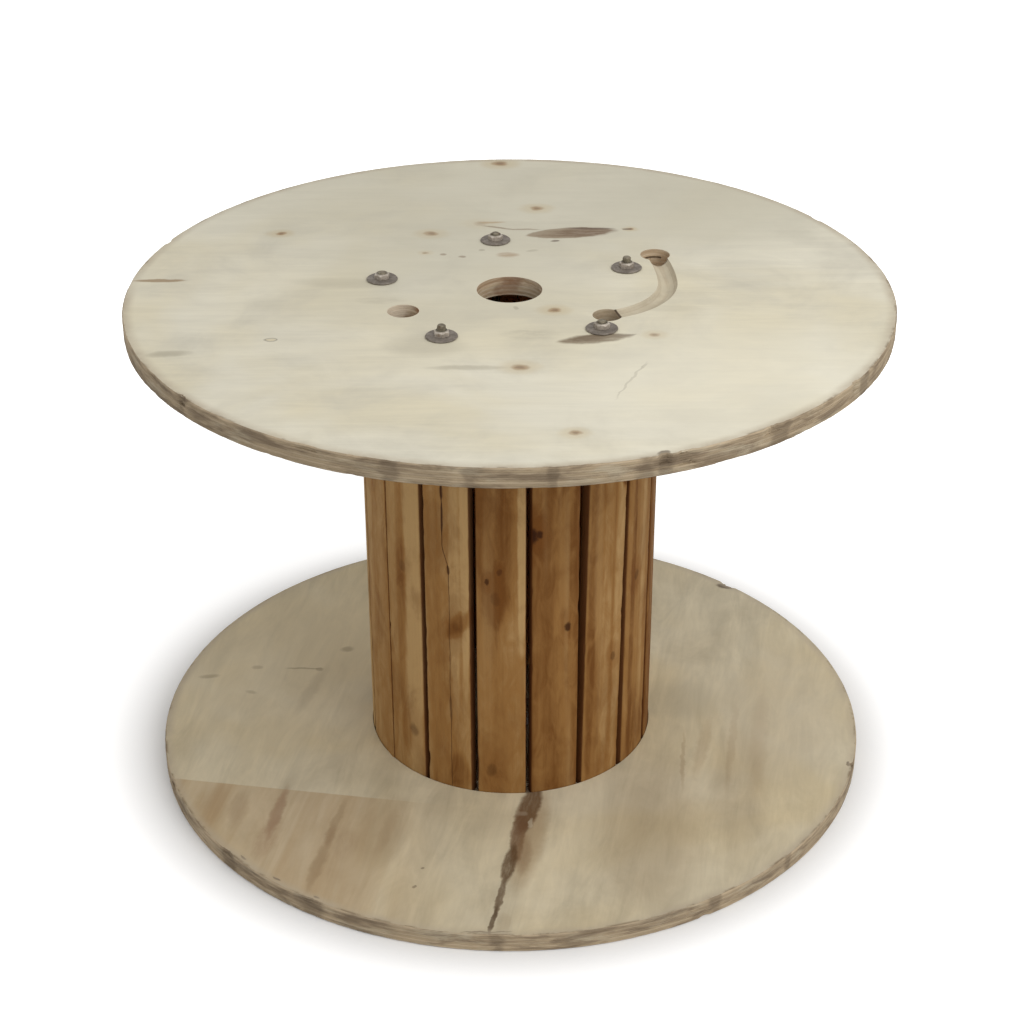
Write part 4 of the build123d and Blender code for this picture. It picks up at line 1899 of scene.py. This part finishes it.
STAVE_STRIPS = (
    StaveStrip(15, 20, 300, 13, 340, 0.38),
    StaveStrip(15, -5, 330, 8, 260, -0.2),
    StaveStrip(15, 3, 385, 6, 26, -0.08),
    StaveStrip(15, 4, 300, 6, 34, -0.07),
    StaveStrip(16, -20, 300, 11, 320, -0.12),
    StaveStrip(16, 13, 340, 8, 210, 0.2),
    StaveStrip(16, 29, 420, 6, 220, 0.42),
    StaveStrip(16, 20, 288, 30, 12, -0.5, 54.0, 0.6),
    StaveStrip(16, 15, 36, 15, 34, -0.3),
    StaveStrip(17, -12, 460, 30, 190, -0.26),
    StaveStrip(17, 29, 430, 6, 170, 0.45),
    StaveStrip(17, 14, 270, 16, 44, 0.16),
    StaveStrip(17, -6, 340, 12, 50, -0.14),
    StaveStrip(1, 12, 220, 17, 180, 0.16),
    StaveStrip(1, -26, 432, 9, 24, -0.34),
    StaveStrip(2, 2, 330, 9, 340, 0.26),
    StaveStrip(2, 24, 330, 9, 340, 0.3),
    StaveStrip(2, -25, 300, 7, 340, -0.2),
    StaveStrip(2, 30, 500, 7, 26, -0.7),
    StaveStrip(3, -18, 250, 6, 260, -0.22),
    StaveStrip(3, 0, 60, 22, 70, -0.2),
    StaveStrip(3, 12, 330, 8, 300, 0.2),
)

CRACK_SWELLS = ((491, 14, 3.0), (452, 32, 1.7), (371, 9, 2.4), (142, 26, 2.2))
CRACK = Crack(16, 4.6, -4.2, 4.4, 325.0, 372.0, 412.0, CRACK_SWELLS)

# Angles and reaches in millimetres of the spots of painted shade on the rims
UPPER_RIM_SHADE_SPOTS = (
    (-69.6, 13), (-72.4, 16), (-51.6, 20), (-31.6, 14), (-95.1, 20), (-84.5, 8), (-105.7, 16), (-140.8, 16),
)
LOWER_RIM_SHADE_SPOTS = ((-42.8, 12), (-58.0, 14), (-121.0, 26), (-138.9, 20), (-92.0, 14))

UPPER_CHIPS = (
    Chip(-69.7, 14, 7, 5, 8),
    Chip(-66.5, 26, 2.5, 3, 8),
    Chip(-52.8, 30, 3.5, 6, 8),
    Chip(-34.4, 14, 4, 5, 8),
    Chip(-140.8, 16, 4, 5, 8),
    Chip(-117.7, 34, 2.5, 7, 8),
    Chip(30, 24, 3, 6, 8),
    Chip(96, 40, 3, 0, 2),
    Chip(160, 20, 4, 7, 8),
)
LOWER_CHIPS = (
    Chip(45.5, 30, 5, 6, 8),
    Chip(-15.8, 12, 4, 7, 8),
    Chip(-138.9, 24, 3, 7, 8),
    Chip(-121.1, 40, 2, 8, 8),
    Chip(-92, 46, 1.5, 8, 8),
    Chip(-60, 18, 3, 0, 2),
    Chip(120, 30, 4, 0, 3),
    Chip(200, 26, 3, 6, 8),
)

# Staves that differ from the rest, by number: paler or darker, moved sideways, and widened on one side
STAVE_TONES = {1: 0.14, 2: 0.36, 3: 0.34, 17: 0.45, 16: 0.58, 15: 0.66, 14: 0.6}
STAVE_SHIFTS = {2: -0.0008, 8: 0.0013, 9: -0.0013, 16: -0.0014}
STAVE_FLARES = {8: 0.0075, 9: 0.012, 14: 0.0125}


def face_finishes() -> dict[str, VeneerFinish]:
    """List the finishes of the flanges' flat faces.

    Returns:
        Finishes by face.
    """
    joint = Joint(-254.5, -0.167, -280.0, -60.0, paint(166, 132, 88), 0.62)
    return {
        "upper": VeneerFinish(
            "veneer_upper", paint(221, 215, 196), paint(217, 208, 182), paint(194, 188, 171), 0.0,
            flat_marks(), figure_depth=0.10, fibre_depth=0.04, mottle_depth=0.25,
        ),
        "under": VeneerFinish(
            "veneer_under", paint(206, 194, 164), paint(196, 180, 146), paint(170, 160, 138), 90.0, seed=3.0
        ),
        "foot": VeneerFinish(
            "veneer_foot", paint(205, 194, 168), paint(199, 184, 151), paint(180, 167, 140), 80.0,
            foot_marks(), figure_depth=0.20, fibre_depth=0.05, mottle_depth=0.65, smudge_share=0.3,
            seed=7.0, joint=joint,
        ),
        "base": VeneerFinish(
            "veneer_base", paint(200, 186, 154), paint(188, 168, 130), paint(150, 138, 116), 80.0,
            smudge_share=0.6, seed=11.0,
        ),
    }


def rim_finish(
    name: str, underside: float, lines: float, shade: float, shaded_spots: tuple[tuple[float, float], ...]
) -> PlyFinish:
    """Finish the rim of a panel.

    Args:
        name: Name of the material.
        underside: Level of the panel's underside.
        lines: How plain its glue lines are, to 1.
        shade: How much darker it is at its underside.
        shaded_spots: Angle and reach in millimetres of each spot of painted shade.

    Returns:
        The rim's finish.
    """
    # The spots are painted shade on the rim, several of them at its chips and nicks
    radius, core, strength, shadow = 0.522, 0.4, 0.4, paint(82, 68, 54)
    stains_and_shade = [
        StainAndShade(polar(radius, angle), reach * MM * core, reach * MM, strength, shadow)
        for angle, reach in shaded_spots
    ]
    return PlyFinish(
        name, underside, paint(171, 153, 127), paint(162, 144, 117), paint(118, 100, 82),
        paint(106, 90, 72), 0.44, line_depth=lines, streak_depth=1.3 * lines, streak_fineness=150.0,
        blotch_depth=0.55, lower_shade=shade, crest=0.12, stains_and_shade=tuple(stains_and_shade),
    )


def cut_finishes() -> dict[str, PlyFinish]:
    """List the finishes of the plywood's cut edges.

    Returns:
        Finishes by cut.
    """
    inner, outer, drive = Flange.inner_hole, Flange.outer_hole, Flange.drive_place
    routed_stains_and_shade = (
        # The first ring is a painted shadow line where the channel floor breaks off into the inner hole
        StainAndShade(inner, 0.0228, 0.0240, 0.95, paint(66, 52, 38)),
        StainAndShade(outer, 0.0218, 0.0250, 0.8, paint(92, 76, 58)),
        StainAndShade(inner, 0.045, 0.11, 0.13, paint(82, 66, 48)),
    )
    bore_stains = (
        StainAndShade((drive[0] - 0.016, drive[1] + 0.012), 0.008, 0.032, 0.75, paint(222, 208, 186)),
        StainAndShade((drive[0] + 0.022, drive[1]), 0.005, 0.018, 0.6, paint(156, 96, 58)),
        StainAndShade(inner, 0.024, 0.03, 0.55, paint(172, 160, 136)),
        StainAndShade(outer, 0.024, 0.03, 0.35, paint(190, 172, 144)),
        StainAndShade((0.0, Flange.spindle_radius), 0.006, 0.02, 0.5, paint(116, 72, 44)),
    )
    return {
        "upper_rim": rim_finish("ply_edge_upper", UPPER_FLANGE, 0.14, 0.0, UPPER_RIM_SHADE_SPOTS),
        "lower_rim": rim_finish("ply_edge_lower", 0.0, 0.07, -0.16, LOWER_RIM_SHADE_SPOTS),
        "channel": PlyFinish(
            "ply_routed", UPPER_FLANGE, paint(198, 187, 163), paint(193, 181, 157), paint(170, 148, 120),
            paint(176, 160, 134), 0.2, line_depth=0.2, scuff=paint(206, 196, 174), tone_depth=0.05,
            streak_depth=0.12, blotch_depth=0.4, stains_and_shade=routed_stains_and_shade,
        ),
        "bore": PlyFinish(
            "ply_bore", UPPER_FLANGE, paint(216, 198, 170), paint(200, 179, 148), paint(140, 114, 86),
            paint(150, 116, 84), 0.5, line_depth=0.3, scuff=paint(222, 208, 184), lower_shade=0.25,
            stains_and_shade=bore_stains,
        ),
    }


STAVE_WOOD = StaveFinish(
    "stave_wood_sawn", paint(112, 71, 31), paint(151, 110, 62), paint(183, 149, 101),
    STAVE_KNOTS, STAVE_STRIPS, CRACK,
)
NUT_STEEL = SteelFinish(
    "zinc_nut", paint(190, 181, 169), paint(150, 140, 128), paint(112, 80, 58), 0.6, 0.5, 0.12,
    shade_above=0.7341,
)
BOLT_STEEL = SteelFinish(
    "zinc_stud", paint(142, 133, 114), paint(94, 86, 71), paint(96, 68, 46), 0.5, 0.4, 0.25
)
WASHER_STEEL = SteelFinish(
    "dull_washer", paint(132, 123, 113), paint(106, 98, 89), paint(100, 82, 68), 0.45, 0.42, 0.15
)


def main() -> None:
    """Build the drum in order and report each piece."""
    logging.basicConfig(level=logging.INFO, format="%(message)s")
    effects = Effects()
    faces = {key: finish.material(effects) for key, finish in face_finishes().items()}
    cuts = {key: finish.material(effects) for key, finish in cut_finishes().items()}
    steels = [finish.material(effects) for finish in (BOLT_STEEL, NUT_STEEL, WASHER_STEEL)]
    wood = STAVE_WOOD.material(effects)
    Stage().build()
    upper = {Side.UPPER: faces["upper"], Side.LOWER: faces["under"], Side.EDGE: cuts["upper_rim"]}
    upper.update({Side.CHANNEL: cuts["channel"], Side.BORE: cuts["bore"]})
    lower = {Side.UPPER: faces["foot"], Side.LOWER: faces["base"], Side.EDGE: cuts["lower_rim"]}
    lower[Side.BORE] = cuts["bore"]
    seat = (UPPER_FLANGE - CUTTER_CLEARANCE, UPPER_FLANGE + SEAT_DEPTH)
    Flange("flange_top", UPPER_FLANGE, seat, upper, UPPER_CHIPS, 2.0, 0.6, cable_start=True).build()
    seat = (FLANGE_THICKNESS - SEAT_DEPTH, FLANGE_THICKNESS + CUTTER_CLEARANCE)
    Flange("flange_bottom", 0.0, seat, lower, LOWER_CHIPS, 9.0, 0.15, bolt_recess=TieBolts.head_top).build()
    Barrel(wood, STAVE_TONES, STAVE_SHIFTS, STAVE_FLARES).build()
    TieBolts(*steels).build()
    Splinters(faces["upper"], wood).build()


if __name__ == "__main__":
    main()
